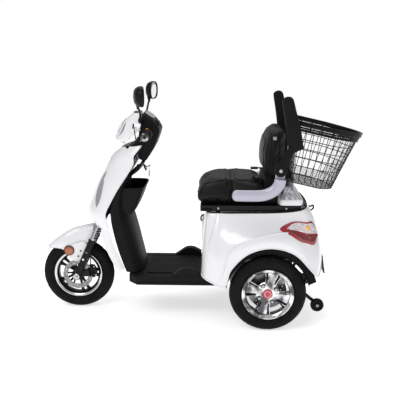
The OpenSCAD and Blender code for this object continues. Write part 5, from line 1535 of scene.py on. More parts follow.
def tail_lamps():
    """Each lamp wraps the tail corner: a red border, a clear top with an amber bulb, and a red lower part."""
    # Outline as places on the body, given by their distance behind the rear axle and height above it
    outline = [(57, 342), (75, 360), (130, 378), (198, 375), (228, 372), (246, 345), (256, 307), (252, 277),
        (232, 262), (196, 272), (150, 292), (98, 322)]
    shape = [on_side(x, z) for x, z in outline]
    for s, name in SIDES:
        grid = BODY * vec(1, -s, 1)
        outward = vec(0.6, s, 0.1)
        whole = blob(shape)
        centre = whole.mean(axis=0)
        place(patch(name + "_lamp_bed", grid, centre + (whole - centre) * 1.03, -0.4, 2.0, outward, 5),
            "chassis", LINER_BLACK)
        place(patch(name + "_lamp_border", grid, whole, 0.8, 6.0, outward, 8, 1.2), "chassis", RED_TRIM,
            "tail_lamps")
        inner = centre + (whole - centre) * 0.86
        split = centre[1] + 0.008
        upper = np.array([[u, min(v, split)] for u, v in inner])
        lower = np.array([[u, max(v, split + 0.012)] for u, v in inner])
        place(patch(name + "_lamp_clear", grid, upper, 3.6, 5.2, outward, 8, 0.8), "chassis", CLEAR_LENS)
        place(patch(name + "_lamp_red", grid, lower, 3.6, 5.2, outward, 8, 0.8), "chassis", RED_LENS)
        spot = centre + np.array([0.018, -0.055])
        ring = [spot + np.array([0.016 * cos(a), 0.030 * sin(a)]) for a in around(20)]
        place(patch(name + "_lamp_amber", grid, ring, 7.6, 3.4, outward, 5, 0.4), "chassis", AMBER_BULB,
            slot="red_lens")


def tail_details():
    # Blank plate on its carrier, with a reflector and two screws
    base = vec(WHEELBASE + 334, 0, 20)
    lean = radians(9)
    up, out = vec(-sin(lean), 0, cos(lean)), vec(cos(lean), 0, sin(lean))
    ring = []
    for d in (0.0, 5.0):
        ring.append([base + out * d + up * (59 + 59 * s_pow(sin(a), 0.3))
            + np.array([0, 70 * s_pow(cos(a), 0.3), 0]) for a in around(40)])
    place(soften(loft("plate_carrier", ring), 1.2), "chassis", BLACK_PLASTIC, "rear_plate")
    for k, y in enumerate((-50, 50)):
        screw(f"plate_screw_{k}", base + up * 100 + out * 5 + vec(0, y, 0), out, "chassis", 6, CHROME,
            slot="machined")
    red = base + up * 30 + out * 4
    profile = [(24, 0), (24, 3), (21, 5), (0.1, 5.6)]
    place(lathe("plate_reflector", profile, red, out, 48, False), "chassis", RED_LENS)
    # Luggage hooks at the tail and under the front of the seat
    tail_hook = [(WHEELBASE + 216, 0, 404), (WHEELBASE + 250, 0, 398), (WHEELBASE + 266, 0, 404),
        (WHEELBASE + 270, 0, 390), (WHEELBASE + 258, 0, 376), (WHEELBASE + 246, 0, 372)]
    place(tube("tail_hook", smooth(tail_hook, 6), 4.5, 12), "chassis", BLACK_SMOOTH)
    front_hook = [(WHEELBASE - 336, 0, 346), (WHEELBASE - 352, 0, 342), (WHEELBASE - 359, 0, 330),
        (WHEELBASE - 359, 0, 316), (WHEELBASE - 352, 0, 308), (WHEELBASE - 342, 0, 312)]
    place(tube("front_hook", smooth(front_hook, 6), 4.5, 12), "chassis", BLACK_SMOOTH)


floor()
rear_body()
liners()
tail_lamps()
tail_details()

# ---------------------------------------------------------------------------
# Seat: cushion, backrest, armrests and belt
# ---------------------------------------------------------------------------

SEAT_Z = 452.0
SEAT_HALF = 232.0
CUSHION_TOP = 576.0
BACK_Z, BACK_H, BACK_FOOT, BACK_HALF = 554.0, 301.0, 38.0, 205.0
ARM_Y = 267.0
ARM_PIVOT = vec(WHEELBASE + 55, 0, SEAT_Z + 196)


def oval(c, half_a, half_b, axis_a, axis_b, power, n=56):
    out = []
    for t in around(n):
        out.append(c + axis_a * half_a * s_pow(cos(t), power) + axis_b * half_b * s_pow(sin(t), power))
    return out


X, Y, Z = np.eye(3)


def baked(ob, name):
    """A copy of a piece's finished shape, with its modifiers worked in."""
    bpy.context.view_layer.update()
    mesh = bpy.data.meshes.new_from_object(ob.evaluated_get(bpy.context.evaluated_depsgraph_get()))
    mesh.name = name
    return link_object(name, mesh)


def inflate(ob, name, cap, voxel, pressure, limits):
    """Padded form: remeshed, then blown up as cloth with gravity off. Its movement is capped and limited."""
    add_mod(ob, "REMESH", "even_mesh", mode="VOXEL", voxel_size=voxel)
    pad = baked(ob, name)
    bpy.data.objects.remove(ob, do_unlink=True)
    start = np.empty(len(pad.data.vertices) * 3)
    pad.data.vertices.foreach_get("co", start)
    start = start.reshape(-1, 3)
    cloth = add_mod(pad, "CLOTH", "filling")
    cloth.settings.quality = 4
    cloth.settings.mass = 0.4
    cloth.settings.use_pressure = True
    cloth.settings.uniform_pressure_force = pressure
    cloth.settings.effector_weights.gravity = 0
    for frame_number in range(1, 21):
        bpy.context.scene.frame_set(frame_number)
    swollen = baked(pad, name + "_swollen")
    end = np.empty_like(start).reshape(-1)
    swollen.data.vertices.foreach_get("co", end)
    bpy.data.objects.remove(swollen, do_unlink=True)
    pad.modifiers.clear()
    bpy.context.scene.frame_set(1)
    move = end.reshape(-1, 3) - start
    size = np.linalg.norm(move, axis=1, keepdims=True)
    start = start + move * np.minimum(1.0, cap * MM / np.maximum(size, 1e-9))
    low, high = (at(*corner) for corner in zip(*limits))
    start = np.clip(start, low, high)
    pad.data.vertices.foreach_set("co", start.reshape(-1))
    pad.data.update()
    for p in pad.data.polygons:
        p.use_smooth = True
    return pad


def near(points, curve):
    """The distance from each point to a densely sampled curve."""
    tree = KDTree(len(curve))
    for i, c in enumerate(curve):
        tree.insert(Vector(c), i)
    tree.balance()
    return np.array([tree.find(Vector(p))[2] for p in points])


def sew(pad, curve, depth, width):
    """Draws the surface in along a seam."""
    co = np.empty(len(pad.data.vertices) * 3)
    pad.data.vertices.foreach_get("co", co)
    co = co.reshape(-1, 3)
    normals = np.array([v.normal for v in pad.data.vertices])
    gap = near(co, curve)
    co -= normals * (depth * MM * np.exp(-(gap / (width * MM))**2))[:, None]
    pad.data.vertices.foreach_set("co", co.reshape(-1))
    pad.data.update()


def on_pad(pad, rays):
    """The points where rays of (from, towards), in layout millimetres, meet a pad's surface."""
    tree = BVHTree.FromObject(pad, bpy.context.evaluated_depsgraph_get())
    out = []
    for a, b in rays:
        a, b = at(*a), at(*b)
        hit = tree.ray_cast(a, (b - a).normalized())[0]
        if hit is not None:
            out.append(np.array(hit))
    return out


def back_to_mm(p):
    return (np.array(p) - np.array(FRONT_AXLE)) / MM


def stitches(name, curve, pitch, lift, body):
    """A run of thread loops along a seam, joined into one mesh."""
    pts = np.array([back_to_mm(p) for p in curve])
    lengths = np.concatenate([[0], np.cumsum(np.linalg.norm(np.diff(pts, axis=0), axis=1))])
    verts, faces = [], []
    s = pitch
    while s < lengths[-1] - pitch:
        a = np.array([np.interp(s, lengths, pts[:, k]) for k in range(3)]) + lift
        b = np.array([np.interp(s + pitch * 0.62, lengths, pts[:, k]) for k in range(3)]) + lift
        rings = tube_rings([a, (a + b) / 2 + lift * 0.25, b], [0.25, 0.55, 0.25], 6)
        base = len(verts)
        verts += [v for ring in rings for v in ring]
        faces += [tuple(base + i for i in f) for f in grid_faces(3, 6, close_v=True)]
        s += pitch
    place(make_object(name, verts, faces), body, SEAM_THREAD)


def piping(name, curve, radius, body):
    pts = [back_to_mm(p) for p in curve]
    place(tube(name, pts, radius, 10), body, VINYL)


def cushion():
    rows = [[-382, 30, 22, 60], [-376, 16, 8, 42], [-358, 6, 0, 20], [-322, 2, 0, 6], [-200, 0, 0, 2],
        [-192, 0, 0, -6], [-90, 0, 0, -4], [-30, 6, 0, 4], [-14, 26, 14, 34]]
    shrink = 9.0
    rings = []
    for dx, side, low, high in smooth(rows, 3):
        z0, z1 = SEAT_Z + 1 + low, CUSHION_TOP - high - shrink
        rings.append(oval(vec(WHEELBASE + dx + (3 if dx < -200 else -3), 0, (z0 + z1) / 2),
            SEAT_HALF - side - shrink, (z1 - z0) / 2, Y, Z, 0.52))
    pad = inflate(loft("seat_form", rings), "seat_pad", 24, 0.0062, 4.0,
        [(WHEELBASE - 384, WHEELBASE - 11), (-SEAT_HALF, SEAT_HALF), (SEAT_Z + 0.6, CUSHION_TOP + 6)])
    # Side seam round the cushion, two fifths up, and the seam across at the step
    z_seam = SEAT_Z + 58
    centre = (WHEELBASE - 200, 0, z_seam)
    rays = []
    for a in np.linspace(0, 2 * pi, 220):
        far = np.array([centre[0] + 420 * cos(a), 380 * sin(a), z_seam + 2])
        rays.append((far, (centre[0], 0, z_seam + 2)))
    side_seam = on_pad(pad, rays)
    step_x = WHEELBASE - 197
    across = on_pad(pad, [((step_x, 300 * cos(a), SEAT_Z + 45 + 200 * sin(a)), (step_x, 0, SEAT_Z + 45))
        for a in np.linspace(0.03, pi - 0.03, 90)])
    inset = 62
    top = []
    for x0, x1 in ((WHEELBASE - 352, step_x - 22), (step_x + 20, WHEELBASE - 44)):
        outline = oval(vec((x0 + x1) / 2, 0, 0), (x1 - x0) / 2, SEAT_HALF - inset, X, Y, 0.34, 140)
        top.append(on_pad(pad, [((p[0], p[1], SEAT_Z + 300), (p[0], p[1], SEAT_Z))
            for p in outline + outline[:1]]))
    sew(pad, side_seam, 2.6, 6)
    sew(pad, across, 5.5, 8)
    for loop in top:
        sew(pad, loop, 3.2, 7)
    subdivide(pad)
    place(pad, "seat", VINYL, "seat_cushion")
    for loop_name, loop, lift in (("side", side_seam, 0), ("step", across, 0), ("front_panel", top[0], 2),
            ("rear_panel", top[1], 2)):
        piping(f"seat_{loop_name}_piping", loop, 1.9, "seat")
        if lift:
            stitches(f"seat_{loop_name}_thread", loop, 6.0, vec(0, 0, 0.4), "seat")


def backrest():
    rows = [[0, -2, 66, 20], [0.1, -18, 74, 6], [0.45, -32, 78, 0], [0.7, -22, 84, 4], [0.9, 2, 92, 22],
        [1, 34, 84, 52]]
    shrink = 7.0
    rings = []
    for h, x0, x1, side in smooth(rows, 4):
        z = BACK_Z + BACK_FOOT + 5 + (BACK_H - BACK_FOOT - 11) * h
        rings.append(oval(vec(WHEELBASE + (x0 + x1) / 2, 0, z), (x1 - x0) / 2 - shrink,
            BACK_HALF - side - shrink, X, Y, 0.5))
    pad = inflate(loft("back_form", rings), "back_pad", 22, 0.0055, 4.0,
        [(WHEELBASE - 38, WHEELBASE + 91), (-BACK_HALF, BACK_HALF),
        (BACK_Z + BACK_FOOT - 2, BACK_Z + BACK_H + 4)])
    z_mid = BACK_Z + BACK_H / 2 + 12
    seams = []
    for dx in (8, 58):
        rays = [((WHEELBASE + dx, 330 * cos(a), z_mid + 260 * sin(a)), (WHEELBASE + dx + 2, 0, z_mid))
            for a in np.linspace(-1.0, pi + 1.0, 170)]
        seams.append(on_pad(pad, rays))
    outline = oval(vec(0, 0, z_mid - 6), 142, 84, Y, Z, 0.42, 140)
    panel_seam = on_pad(pad, [((WHEELBASE - 300, p[1], p[2]), (WHEELBASE + 100, p[1], p[2]))
        for p in outline + outline[:1]])
    for seam in seams:
        sew(pad, seam, 3.0, 6)
    sew(pad, panel_seam, 4.2, 7)
    subdivide(pad)
    place(pad, "seat", VINYL, "backrest")
    for k, seam in enumerate(seams):
        piping(f"back_side_piping_{k}", seam, 1.8, "seat")
    piping("back_panel_piping", panel_seam, 1.8, "seat")
    stitches("back_panel_thread", panel_seam, 6.0, vec(-0.5, 0, 0), "seat")
    # A small blank tag sewn to the side seam
    hits = on_pad(pad, [((WHEELBASE + 30, -330, BACK_Z + 244), (WHEELBASE + 30, 0, BACK_Z + 244))])
    p = back_to_mm(hits[0])
    tag = rounded_box("back_tag", p - [9, 1.6, 11], p + [9, 0.8, 11], 1.0, 2)
    place(tag, "seat", TAG)


def seat_metal():
    # The CAD's pressed frame keeps its shape, and a rolled rim, sliders and a latch are added
    front, rear = WHEELBASE - 351, WHEELBASE + 167
    rim = [(front, -221, 424), (rear, -221, 424), (rear, 221, 424), (front, 221, 424)]
    corners = []
    for k in range(4):
        a, b, c = (np.array(rim[(k + q) % 4], float) for q in (-1, 0, 1))
        for t in np.linspace(0, 1, 7):
            p = b + (a - b) / np.linalg.norm(a - b) * 26 * (1 - t)**2 + (c - b) / np.linalg.norm(c
                - b) * 26 * t**2
            corners.append(p)
    corners.append(corners[0])
    place(tube("seat_base_rim", corners, 4.0, 10), "seat", BLACK_PAINT)
    for s, n in SIDES:
        for k, dx in enumerate((-262, 95)):
            place(rounded_box(f"{n}_slider_{k}", (WHEELBASE + dx - 20, s * 216 - 8, 424),
                (WHEELBASE + dx + 20, s * 216 + 8, 447), 3), "seat", BLACK_PAINT)
            screw(f"{n}_slider_bolt_{k}", (WHEELBASE + dx, s * 225, 436), (0, s, 0), "seat", 6, MACHINED)
    # Moulded cover over the backrest's hinge, behind the cushion
    place(rounded_box("back_hinge_cover", (WHEELBASE - 24, -186, SEAT_Z + 1),
        (WHEELBASE + 49, 186, BACK_Z + 34), 9, 4), "seat", BLACK_PLASTIC)
    # Release handle at the front left
    lever = [(WHEELBASE - 300, -226, 432), (WHEELBASE - 312, -236, 430), (WHEELBASE - 336, -240, 428),
        (WHEELBASE - 350, -238, 428)]
    place(tube("seat_release", smooth(lever, 5), 4.2, 12), "seat", BLACK_SMOOTH, slot="black_paint")


def armrests():
    path = smooth([[-192, 62], [-189, 62], [-182, 62], [-168, 62], [-110, 61], [-30, 64], [24, 88],
        [50, 122], [55, 148]], 6)
    pts = np.array([[WHEELBASE + a, -ARM_Y, SEAT_Z + b] for a, b in path])
    pts[:, 0] = np.maximum(pts[:, 0], WHEELBASE - 192)
    tangents = np.gradient(pts, axis=0)
    tangents /= np.linalg.norm(tangents, axis=1)[:, None] + 1e-9
    run = np.concatenate([[0], np.cumsum(np.linalg.norm(np.diff(pts, axis=0), axis=1))])
    rings = []
    for p, t, d in zip(pts, tangents, run):
        up = np.array([-t[2], 0, t[0]])
        k = sqrt(max(0.01, 1 - max(0, 1 - d / 24)**2))
        rings.append([p + up * 30 * k * sin(a) + Y * 20 * k * cos(a) for a in around(28)])
    pair(loft("arm_tube", rings), "arm_tube", "seat", ARM_GREY, "armrest_tubes")
    # Yoke plate that carries the pivot
    yoke = [(33, 136), (30, 160), (36, 196), (46, 214), (64, 214), (76, 198), (80, 160), (77, 136)]
    outline = smooth(yoke, 4)
    plate = prism("arm_yoke", [(WHEELBASE + x, SEAT_Z + z) for x, z in outline], -ARM_Y + 12, -ARM_Y + 19,
        1.5)
    pair(plate, "arm_yoke", "seat", ARM_GREY)
    strut = tube("arm_strut", [(WHEELBASE + 40, -ARM_Y + 8, SEAT_Z + 90),
        (WHEELBASE + 40, -BACK_HALF + 60, SEAT_Z + 90)], 9, 16)
    pair(strut, "arm_strut", "seat", BLACK_PAINT)
    collar = lathe("arm_collar", [(9, 0), (16, 0), (17, 2), (15, 6), (9, 7)],
        (WHEELBASE + 40, -ARM_Y + 20, SEAT_Z + 90), (0, 1, 0), 40)
    pair(collar, "arm_collar", "seat", BLACK_SMOOTH)
    bodies = ("left_arm", "right_arm")
    link = [[40, 222], [84, 206], [116, 286], [168, 310], [166, 330], [100, 325]]
    plate = prism("arm_link", [(WHEELBASE + x, SEAT_Z + z) for x, z in link], -ARM_Y - 24, -ARM_Y + 10, 7, 4)
    pair(plate, "arm_link", bodies, BLACK_PLASTIC)
    boss = lathe("arm_boss", [(8.4, 10), (31, 10), (32, 8), (32, -22), (30, -25), (24, -26), (22, -24),
        (8.4, -24)], ARM_PIVOT - [0, ARM_Y, 0], (0, 1, 0), 64)
    pair(soften(boss, 1.0, 2, 30), "arm_boss", bodies, BLACK_PLASTIC)
    for s, name in SIDES:
        screw(name + "_pivot_bolt", ARM_PIVOT + [0, s * (ARM_Y + 26), 0], (0, s, 0), "seat", 9, MACHINED)
    outline = smooth([[84, 326], [122, 316], [162, 309], [166, 316], [158, 370], [146, 424], [130, 480],
        [113, 544], [108, 558], [96, 569], [80, 570], [65, 565], [56, 556], [54, 542], [63, 490], [71, 440],
        [79, 380], [82, 334], [84, 326]], 2)[:-1]
    rings = []
    for y, inset in ((-ARM_Y - 30, 9), (-ARM_Y - 28, 4.5), (-ARM_Y - 24, 1.2), (-ARM_Y - 17, 0),
            (-ARM_Y - 2, 0), (-ARM_Y + 5, 1.2), (-ARM_Y + 9.2, 4.5), (-ARM_Y + 11.2, 9)):
        centre = outline.mean(axis=0)
        ring = []
        m = len(outline)
        for i in range(m):
            t = outline[(i + 1) % m] - outline[i - 1]
            inward = np.array([-t[1], t[0]]) / (np.linalg.norm(t) + 1e-9)
            if inward.dot(centre - outline[i]) < 0:
                inward = -inward
            q = outline[i] + inward * inset
            ring.append([WHEELBASE + q[0], y, SEAT_Z + q[1]])
        rings.append(ring)
    for ob in pair(loft("arm_pad", rings), "arm_pad", bodies, FOAM, "left_armrest", "right_armrest"):
        subdivide(ob)


def belt():
    x, y, z = WHEELBASE - 80, -150.0, CUSHION_TOP + 8
    place(rounded_box("belt_buckle", (x, y, z - 12), (x + 52, y + 40, z + 14), 4.5, 4), "seat",
        BLACK_SMOOTH, "lap_belt", slot="webbing")
    place(rounded_box("belt_button", (x + 1, y + 9, z + 11.5), (x + 20, y + 31, z + 15.4), 2, 3), "seat",
        BLACK_SMOOTH, slot="webbing")
    frame_path = oval(vec(x + 27, y + 20, z + 7.4), 24.5, 19.6, X, Y, 0.3, 60)
    place(tube("buckle_edge", frame_path + frame_path[:1], 1.4, 8), "seat", CHROME, slot="webbing")
    place(rounded_box("belt_tongue", (x + 50, y + 6, z - 8), (x + 78, y + 34, z - 3), 1.6, 2), "seat",
        CHROME, slot="webbing")
    slot_ring = oval(vec(x + 72, y + 20, z - 4), 5, 14, X, Y, 0.5, 32)
    place(tube("tongue_bar", slot_ring + slot_ring[:1], 1.8, 8), "seat", CHROME, slot="webbing")
    # The strap runs back from the tongue and down behind the cushion on each side
    for k, (side, start) in enumerate(((-1, (x + 74, y + 20, z - 4)), (1, (x + 30, 150, z + 4)))):
        path = smooth([start, (x + 90, side * 146, z + 3), (x + 106, side * 146, z - 16),
            (x + 118, side * 147, z - 60)], 8)
        rings = []
        for p in path:
            rings.append([p + vec(0.9 * q0, 19 * q1, 0.9 * q0) for q0,
                q1 in ((-1, -1), (-1, -0.5), (-1, 0), (-1, 0.5), (-1, 1), (1, 1), (1, 0.5), (1, 0),
                (1, -0.5), (1, -1))])
        place(loft(f"belt_strap_{k}", rings), "seat", WEBBING)
    place(rounded_box("belt_right_end", (x + 2, 132, z - 2), (x + 44, 168, z + 9), 3, 3), "seat",
        BLACK_SMOOTH, slot="webbing")


cushion()
backrest()
seat_metal()
armrests()
belt()

# ---------------------------------------------------------------------------
# Tail cover and basket
# ---------------------------------------------------------------------------

BASKET_AT = vec(WHEELBASE + 122, 0, SEAT_Z + 112)
LEAN = radians(13)
BASKET_H, RIM_BAND = 330.0, 52.0


def in_basket(p):
    """A point in the basket's own leaning frame, as a layout point."""
    x, y, z = p
    return BASKET_AT + vec(x * cos(LEAN) + z * sin(LEAN), y, -x * sin(LEAN) + z * cos(LEAN))


PLAN_STEPS = 64


def plan_at(z, out):
    """Even steps round the basket's closed plan at height z, moved outwards. The back bulges."""
    n = PLAN_STEPS
    h = z / BASKET_H
    w, tip, c = 170 + 25 * h + out, 245 + 75 * h, 152.0
    rear = []
    for q in np.linspace(-1, 1, 2 * n // 3 + 1):
        # Evenly spaced along the sides and round the back
        y = sin(q * pi / 2)
        rear.append((tip + out - (tip - c) * abs(y) ** 2.4, y * w))
    front_x = 2 - 44 * h - out
    corner_l, corner_r = (rear[0][0], -w), (rear[-1][0], w)
    left = [(front_x + (corner_l[0] - front_x) * t, -w) for t in np.linspace(0, 1, 10)[:-1]]
    right = [(corner_r[0] + (front_x - corner_r[0]) * t, w) for t in np.linspace(0, 1, 10)[1:]]
    front = [(front_x, w - 2 * w * t) for t in np.linspace(0, 1, 12)[1:-1]]
    loop = np.array(left + rear + right + front)
    # Even steps, with rounded corners
    closed = np.concatenate([loop, loop[:1]])
    run = np.concatenate([[0], np.cumsum(np.linalg.norm(np.diff(closed, axis=0), axis=1))])
    even = np.array([[np.interp(s, run, closed[:, k]) for k in range(2)]
        for s in np.linspace(0, run[-1], 4 * n, endpoint=False)])
    for _ in range(5):
        even = (np.roll(even, 1, axis=0) + 2 * even + np.roll(even, -1, axis=0)) / 4
    return even


def hoop(name, z, out, radius, material, *nodes):
    pts = [in_basket((x, y, z)) for x, y in plan_at(z, out)]
    rings = tube_rings(pts + pts[:1], radius, 8)
    place(loft(name, rings[:-1] + [rings[0]], caps=False), "seat", material, *nodes)


def basket_wires():
    top = BASKET_H - RIM_BAND + 8
    # Level wires
    for k, z in enumerate(np.linspace(4, top, 7)):
        nodes = [] if k else ["basket"]
        hoop(f"basket_hoop_{k}", z, -1.6, 2.3, WIRE, *nodes)
    # Upright wires, on every eighth of the even steps
    low, high = plan_at(4, -3.6), plan_at(top, -3.6)
    for k, i in enumerate(range(0, 4 * PLAN_STEPS, 8)):
        pts = [in_basket((*(low[i] * (1 - t) + high[i] * t), 4 + (top - 4) * t))
            for t in np.linspace(0, 1, 7)]
        place(tube(f"basket_upright_{k}", pts, 2.1, 8), "seat", WIRE)
    # Floor: a grid of wires both ways
    floor_plan = plan_at(4, -2.5)
    for k, y in enumerate(np.linspace(-150, 150, 11)):
        xs = crossing(floor_plan, y, 1)
        place(tube(f"basket_floor_long_{k}", [in_basket((xs[0], y, 4)), in_basket((xs[1], y, 4))], 1.6, 8),
            "seat", WIRE)
    for k, x in enumerate(np.linspace(26, 222, 7)):
        ys = crossing(floor_plan, x, 0)
        place(tube(f"basket_floor_cross_{k}", [in_basket((x, ys[0], 6.4)), in_basket((x, ys[1], 6.4))], 1.6,
            8), "seat", WIRE)


def crossing(plan, value, axis):
    """Where a closed plan crosses a line, lowest and highest."""
    out = []
    m = len(plan)
    for i in range(m):
        a, b = plan[i], plan[(i + 1) % m]
        if (a[axis] - value) * (b[axis] - value) <= 0 and a[axis] != b[axis]:
            t = (value - a[axis]) / (b[axis] - a[axis])
            out.append(a[1 - axis] + t * (b[1 - axis] - a[1 - axis]))
    return min(out), max(out)


def mesh_sheet(name, z0, z1, start, stop, out, pitch, radius):
    """Expanded mesh: two sets of slanting strands over part of the wall, as one mesh."""
    verts, faces = [], []
    low, high = plan_at(z0, out), plan_at(z1, out)
    count = 4 * PLAN_STEPS
    lengths = np.linalg.norm(np.roll(low, -1, axis=0) - low, axis=1).mean()
    slope = (z1 - z0) * 0.62 / lengths

    def spot(i, t):
        i = i % count
        a, f = int(i), i % 1
        b = (a + 1) % count
        p = (low[a] * (1 - f) + low[b] * f) * (1 - t) + (high[a] * (1 - f) + high[b] * f) * t
        return in_basket((*p, z0 + (z1 - z0) * t))
    i = start
    while i < stop:
        for direction in (1, -1):
            pts = []
            for t in np.linspace(0, 1, max(4, int((z1 - z0) / 14))):
                j = i + direction * slope * t
                if start <= j <= stop:
                    pts.append(spot(j, t))
            if len(pts) < 3:
                continue
            rings = tube_rings(pts, radius, 4)
            base = len(verts)
            verts += [v for ring in rings for v in ring]
            faces += [tuple(base + q for q in f) for f in grid_faces(len(rings), 4, close_v=True)]
        i += pitch
    place(make_object(name, verts, faces), "seat", WIRE)


def basket_band():
    """The moulded rim: a top rail and a lower rail with slots between them, joined by short webs."""
    top, low = BASKET_H, BASKET_H - RIM_BAND
    for name, z, out, h, t in (("top", top - 13, 3, 13, 7), ("middle", top - 33, 2, 5, 4.5),
            ("low", low + 6, 1.5, 7, 5)):
        pts = plan_at(z, out)
        nxt, prv = np.roll(pts, -1, axis=0), np.roll(pts, 1, axis=0)
        tang = nxt - prv
        normal = np.stack([tang[:, 1], -tang[:, 0]], axis=1)
        normal /= np.linalg.norm(normal, axis=1)[:, None]
        if (normal * (pts - pts.mean(axis=0))).sum() < 0:
            normal = -normal
        rings = []
        for p, nn in zip(pts, normal):
            ring = []
            for a in around(16):
                q = p + nn * t * s_pow(cos(a), 0.5)
                ring.append(in_basket((q[0], q[1], z + h * s_pow(sin(a), 0.5))))
            rings.append(ring)
        ob = grid_object(f"basket_rail_{name}", rings, close_u=True, close_v=True)
        nodes = ["basket_rim"] if name == "top" else []
        place(soften(ob, 0.5, 1), "seat", BLACK_SMOOTH, *nodes)
    # Short webs between the rails
    pts_a, pts_b = plan_at(top - 20, 3), plan_at(low + 8, 1.5)
    for k, i in enumerate(range(0, len(pts_a), 12)):
        a, b = pts_a[i], pts_b[i]
        path = [in_basket((a[0], a[1], top - 20)), in_basket((b[0], b[1], low + 8))]
        place(tube(f"basket_web_{k}", path, 4.2, 10), "seat", BLACK_SMOOTH)
    # A lip turned outwards round the top edge
    hoop("basket_lip", top - 3, 8, 3.2, BLACK_SMOOTH)


def tail_cover():
    """The white lid behind the seat, with a grey fairing that rises to the basket."""
    x0, x1, half = WHEELBASE + 51, WHEELBASE + 186, SEAT_HALF - 2
    lid = []
    for inset, z in ((0, SEAT_Z + 2), (0, SEAT_Z + 22), (2, SEAT_Z + 29), (7, SEAT_Z + 33)):
        ring = []
        for a in around(72):
            ring.append([(x0 + x1) / 2 + ((x1 - x0) / 2 - inset) * s_pow(cos(a), 0.28),
                (half - inset) * s_pow(sin(a), 0.28), z])
        lid.append(ring)
    place(soften(loft("tail_lid", lid), 1.0), "seat", WHITE, "tail_cover")
    # Fairings at the sides and the middle bracket under the basket
    for name, y0, y1 in (("left", -226, -150), ("middle", -70, 70), ("right", 150, 226)):
        rows = []
        side = name != "middle"
        for t in np.linspace(0, 1, 12):
            grow = (1 - t) ** 1.5
            z = SEAT_Z + 32 + (64 if side else 76) * t
            mid_x = WHEELBASE + 118 + (-18 if side else 22) * t
            half_x = (56 if side else 46) * (0.34 + 0.66 * grow)
            half_y = (y1 - y0) / 2 * ((0.5 if side else 0.75) + (0.5 if side else 0.25) * grow)
            rows.append(oval(vec(mid_x, (y0 + y1) / 2, z), half_x, half_y, X, Y, 0.55, 40))
        place(loft(name + "_tail_fairing", rows), "seat", GREY_PAINTED_REFLECTIONS)


tail_cover()
basket_wires()
mesh_sheet("basket_bottom_mesh", 4, 46, 0, 256, -0.6, 1.9, 0.7)
mesh_sheet("basket_back_mesh", 46, 280, 62, 126, -0.6, 2.3, 0.7)
basket_band()

# ---------------------------------------------------------------------------
# Every CAD node takes a finished material, for those that keep their own shape
# ---------------------------------------------------------------------------

CAD_FINISH = [
    (BLACK_PAINT, "frame anti_tip_arms steering_column handlebar seat_frame mirror_stems "
                  "left_brake_lever right_brake_lever"),
    (BATTERY_CASE, "battery_pack"),
    (CAST_ALLOY, "transaxle"),
    (MACHINED, "front_axle ignition_lock rear_calipers"),
    (BLACK_PLASTIC, "floor_pan leg_shield rear_plate dash_housing basket_rim"),
    (RUBBER, "floor_mat left_grip throttle_grip left_tip_wheel right_tip_wheel"),
    (WHITE, "front_shield rear_body front_cowl front_fender"),
    (GREY_STRIP, "side_lamps"),
    (LINER_BLACK, "wheel_liners"),
    (RED_LENS, "tail_lamps"),
    (DISPLAY, "dash_display"),
    (HEAD_LENS, "headlight"),
    (BLACK_SMOOTH, "lever_perches left_mirror right_mirror lap_belt ignition_key"),
    (AMBER_LENS, "turn_switch front_reflectors"),
    (BLACK_ALLOY, "fork_lowers front_caliper front_rim"),
    (SPRING_GREY, "fork_springs"),
    (TYRE_RUBBER, "front_tyre left_rear_tyre right_rear_tyre"),
    (DISC_STEEL, "front_disc"),
    (CHROME, "left_rear_rim right_rear_rim"),
    (RED_CAP, "left_wheel_cap right_wheel_cap"),
    (DARK_STEEL, "left_drive_hub right_drive_hub"),
    (VINYL, "seat_cushion backrest"),
    (GREY_PAINTED_REFLECTIONS, "tail_cover"),
    (ARM_GREY, "armrest_tubes"),
    (FOAM, "left_armrest right_armrest"),
    (WIRE, "basket"),
]
for material, node_names in CAD_FINISH:
    for node_name in node_names.split():
        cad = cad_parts[node_name]
        cad.data.materials.clear()
        cad.data.materials.append(material)

# ---------------------------------------------------------------------------
# Floor, light and camera
# ---------------------------------------------------------------------------

FLOOR_SIZE = 900.0
WHITE_LEVEL = 1.0


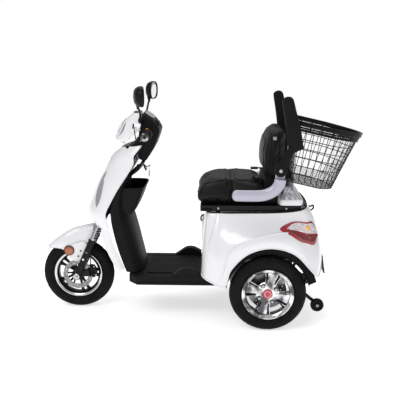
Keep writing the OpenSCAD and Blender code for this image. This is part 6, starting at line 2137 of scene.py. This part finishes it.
def studio():
    bpy.ops.mesh.primitive_plane_add(size=FLOOR_SIZE, location=(0, 0, 0))
    floor = bpy.context.object
    floor.name = "studio_floor"
    s = Shader("pale_floor", Roughness=0.9, Specular_IOR_Level=0.1)
    s.colour(s.mix(s.noise(0.8, 2), (0.93, 0.93, 0.935), (0.95, 0.95, 0.955)))
    s.bsdf.inputs["Emission Color"].default_value = (1.0, 1.0, 1.0, 1.0)
    s.bsdf.inputs["Emission Strength"].default_value = WHITE_LEVEL - 0.94 * WORLD_STRENGTH
    floor.data.materials.append(s.mat)

    world = bpy.data.worlds.new("studio_world")
    world.use_nodes = True
    tree = world.node_tree
    tree.nodes["Background"].inputs["Color"].default_value = (1.0, 1.0, 1.0, 1.0)
    # The backdrop looks white, and lights the object less than it shows
    seen = tree.nodes.new("ShaderNodeLightPath").outputs["Is Camera Ray"]
    level = tree.nodes.new("ShaderNodeMapRange")
    level.inputs["To Min"].default_value, level.inputs["To Max"].default_value = WORLD_STRENGTH, WHITE_LEVEL
    tree.links.new(seen, level.inputs["Value"])
    tree.links.new(level.outputs["Result"], tree.nodes["Background"].inputs["Strength"])
    bpy.context.scene.world = world

    for name, place_at, target, size, power in SOFTBOXES:
        light = bpy.data.lights.new(name, "AREA")
        light.shape = "RECTANGLE"
        light.size, light.size_y = size
        light.energy = power
        ob = bpy.data.objects.new(name, light)
        ob.location = place_at
        ob.rotation_euler = (Vector(target) - Vector(place_at)).to_track_quat("-Z", "Y").to_euler()
        bpy.context.scene.collection.objects.link(ob)


WORLD_STRENGTH = 0.45
SOFTBOXES = [
    ("key_softbox", (-1.6, -2.6, 3.4), (0.0, 0.0, 0.5), (2.2, 1.6), 52),
    ("fill_softbox", (2.6, -3.0, 2.0), (0.2, 0.0, 0.5), (1.6, 1.6), 8),
    ("top_softbox", (0.3, 1.0, 3.8), (0.1, 0.0, 0.4), (3.0, 2.0), 36),
]

# The camera stands on the vehicle's left, a little above it, and looks slightly down
CAMERA_FROM_AXLE = (0.7994, -3.5291, 1.4329)
CAMERA_YAW = radians(-1.661)
CAMERA_PITCH = radians(12.775)
FOCAL_OVER_WIDTH = 645.2 / 400.0


def camera():
    data = bpy.data.cameras.new("photo_camera")
    data.sensor_width = 36.0
    data.lens = 36.0 * FOCAL_OVER_WIDTH
    ob = bpy.data.objects.new("photo_camera", data)
    ob.location = (FRONT_AXLE[0] + CAMERA_FROM_AXLE[0], CAMERA_FROM_AXLE[1], CAMERA_FROM_AXLE[2])
    look = Vector((sin(CAMERA_YAW) * cos(CAMERA_PITCH), cos(CAMERA_YAW) * cos(CAMERA_PITCH),
        -sin(CAMERA_PITCH)))
    ob.rotation_euler = look.to_track_quat("-Z", "Y").to_euler()
    bpy.context.scene.collection.objects.link(ob)
    bpy.context.scene.camera = ob


studio()
camera()
bpy.context.scene.view_settings.view_transform = "Standard"
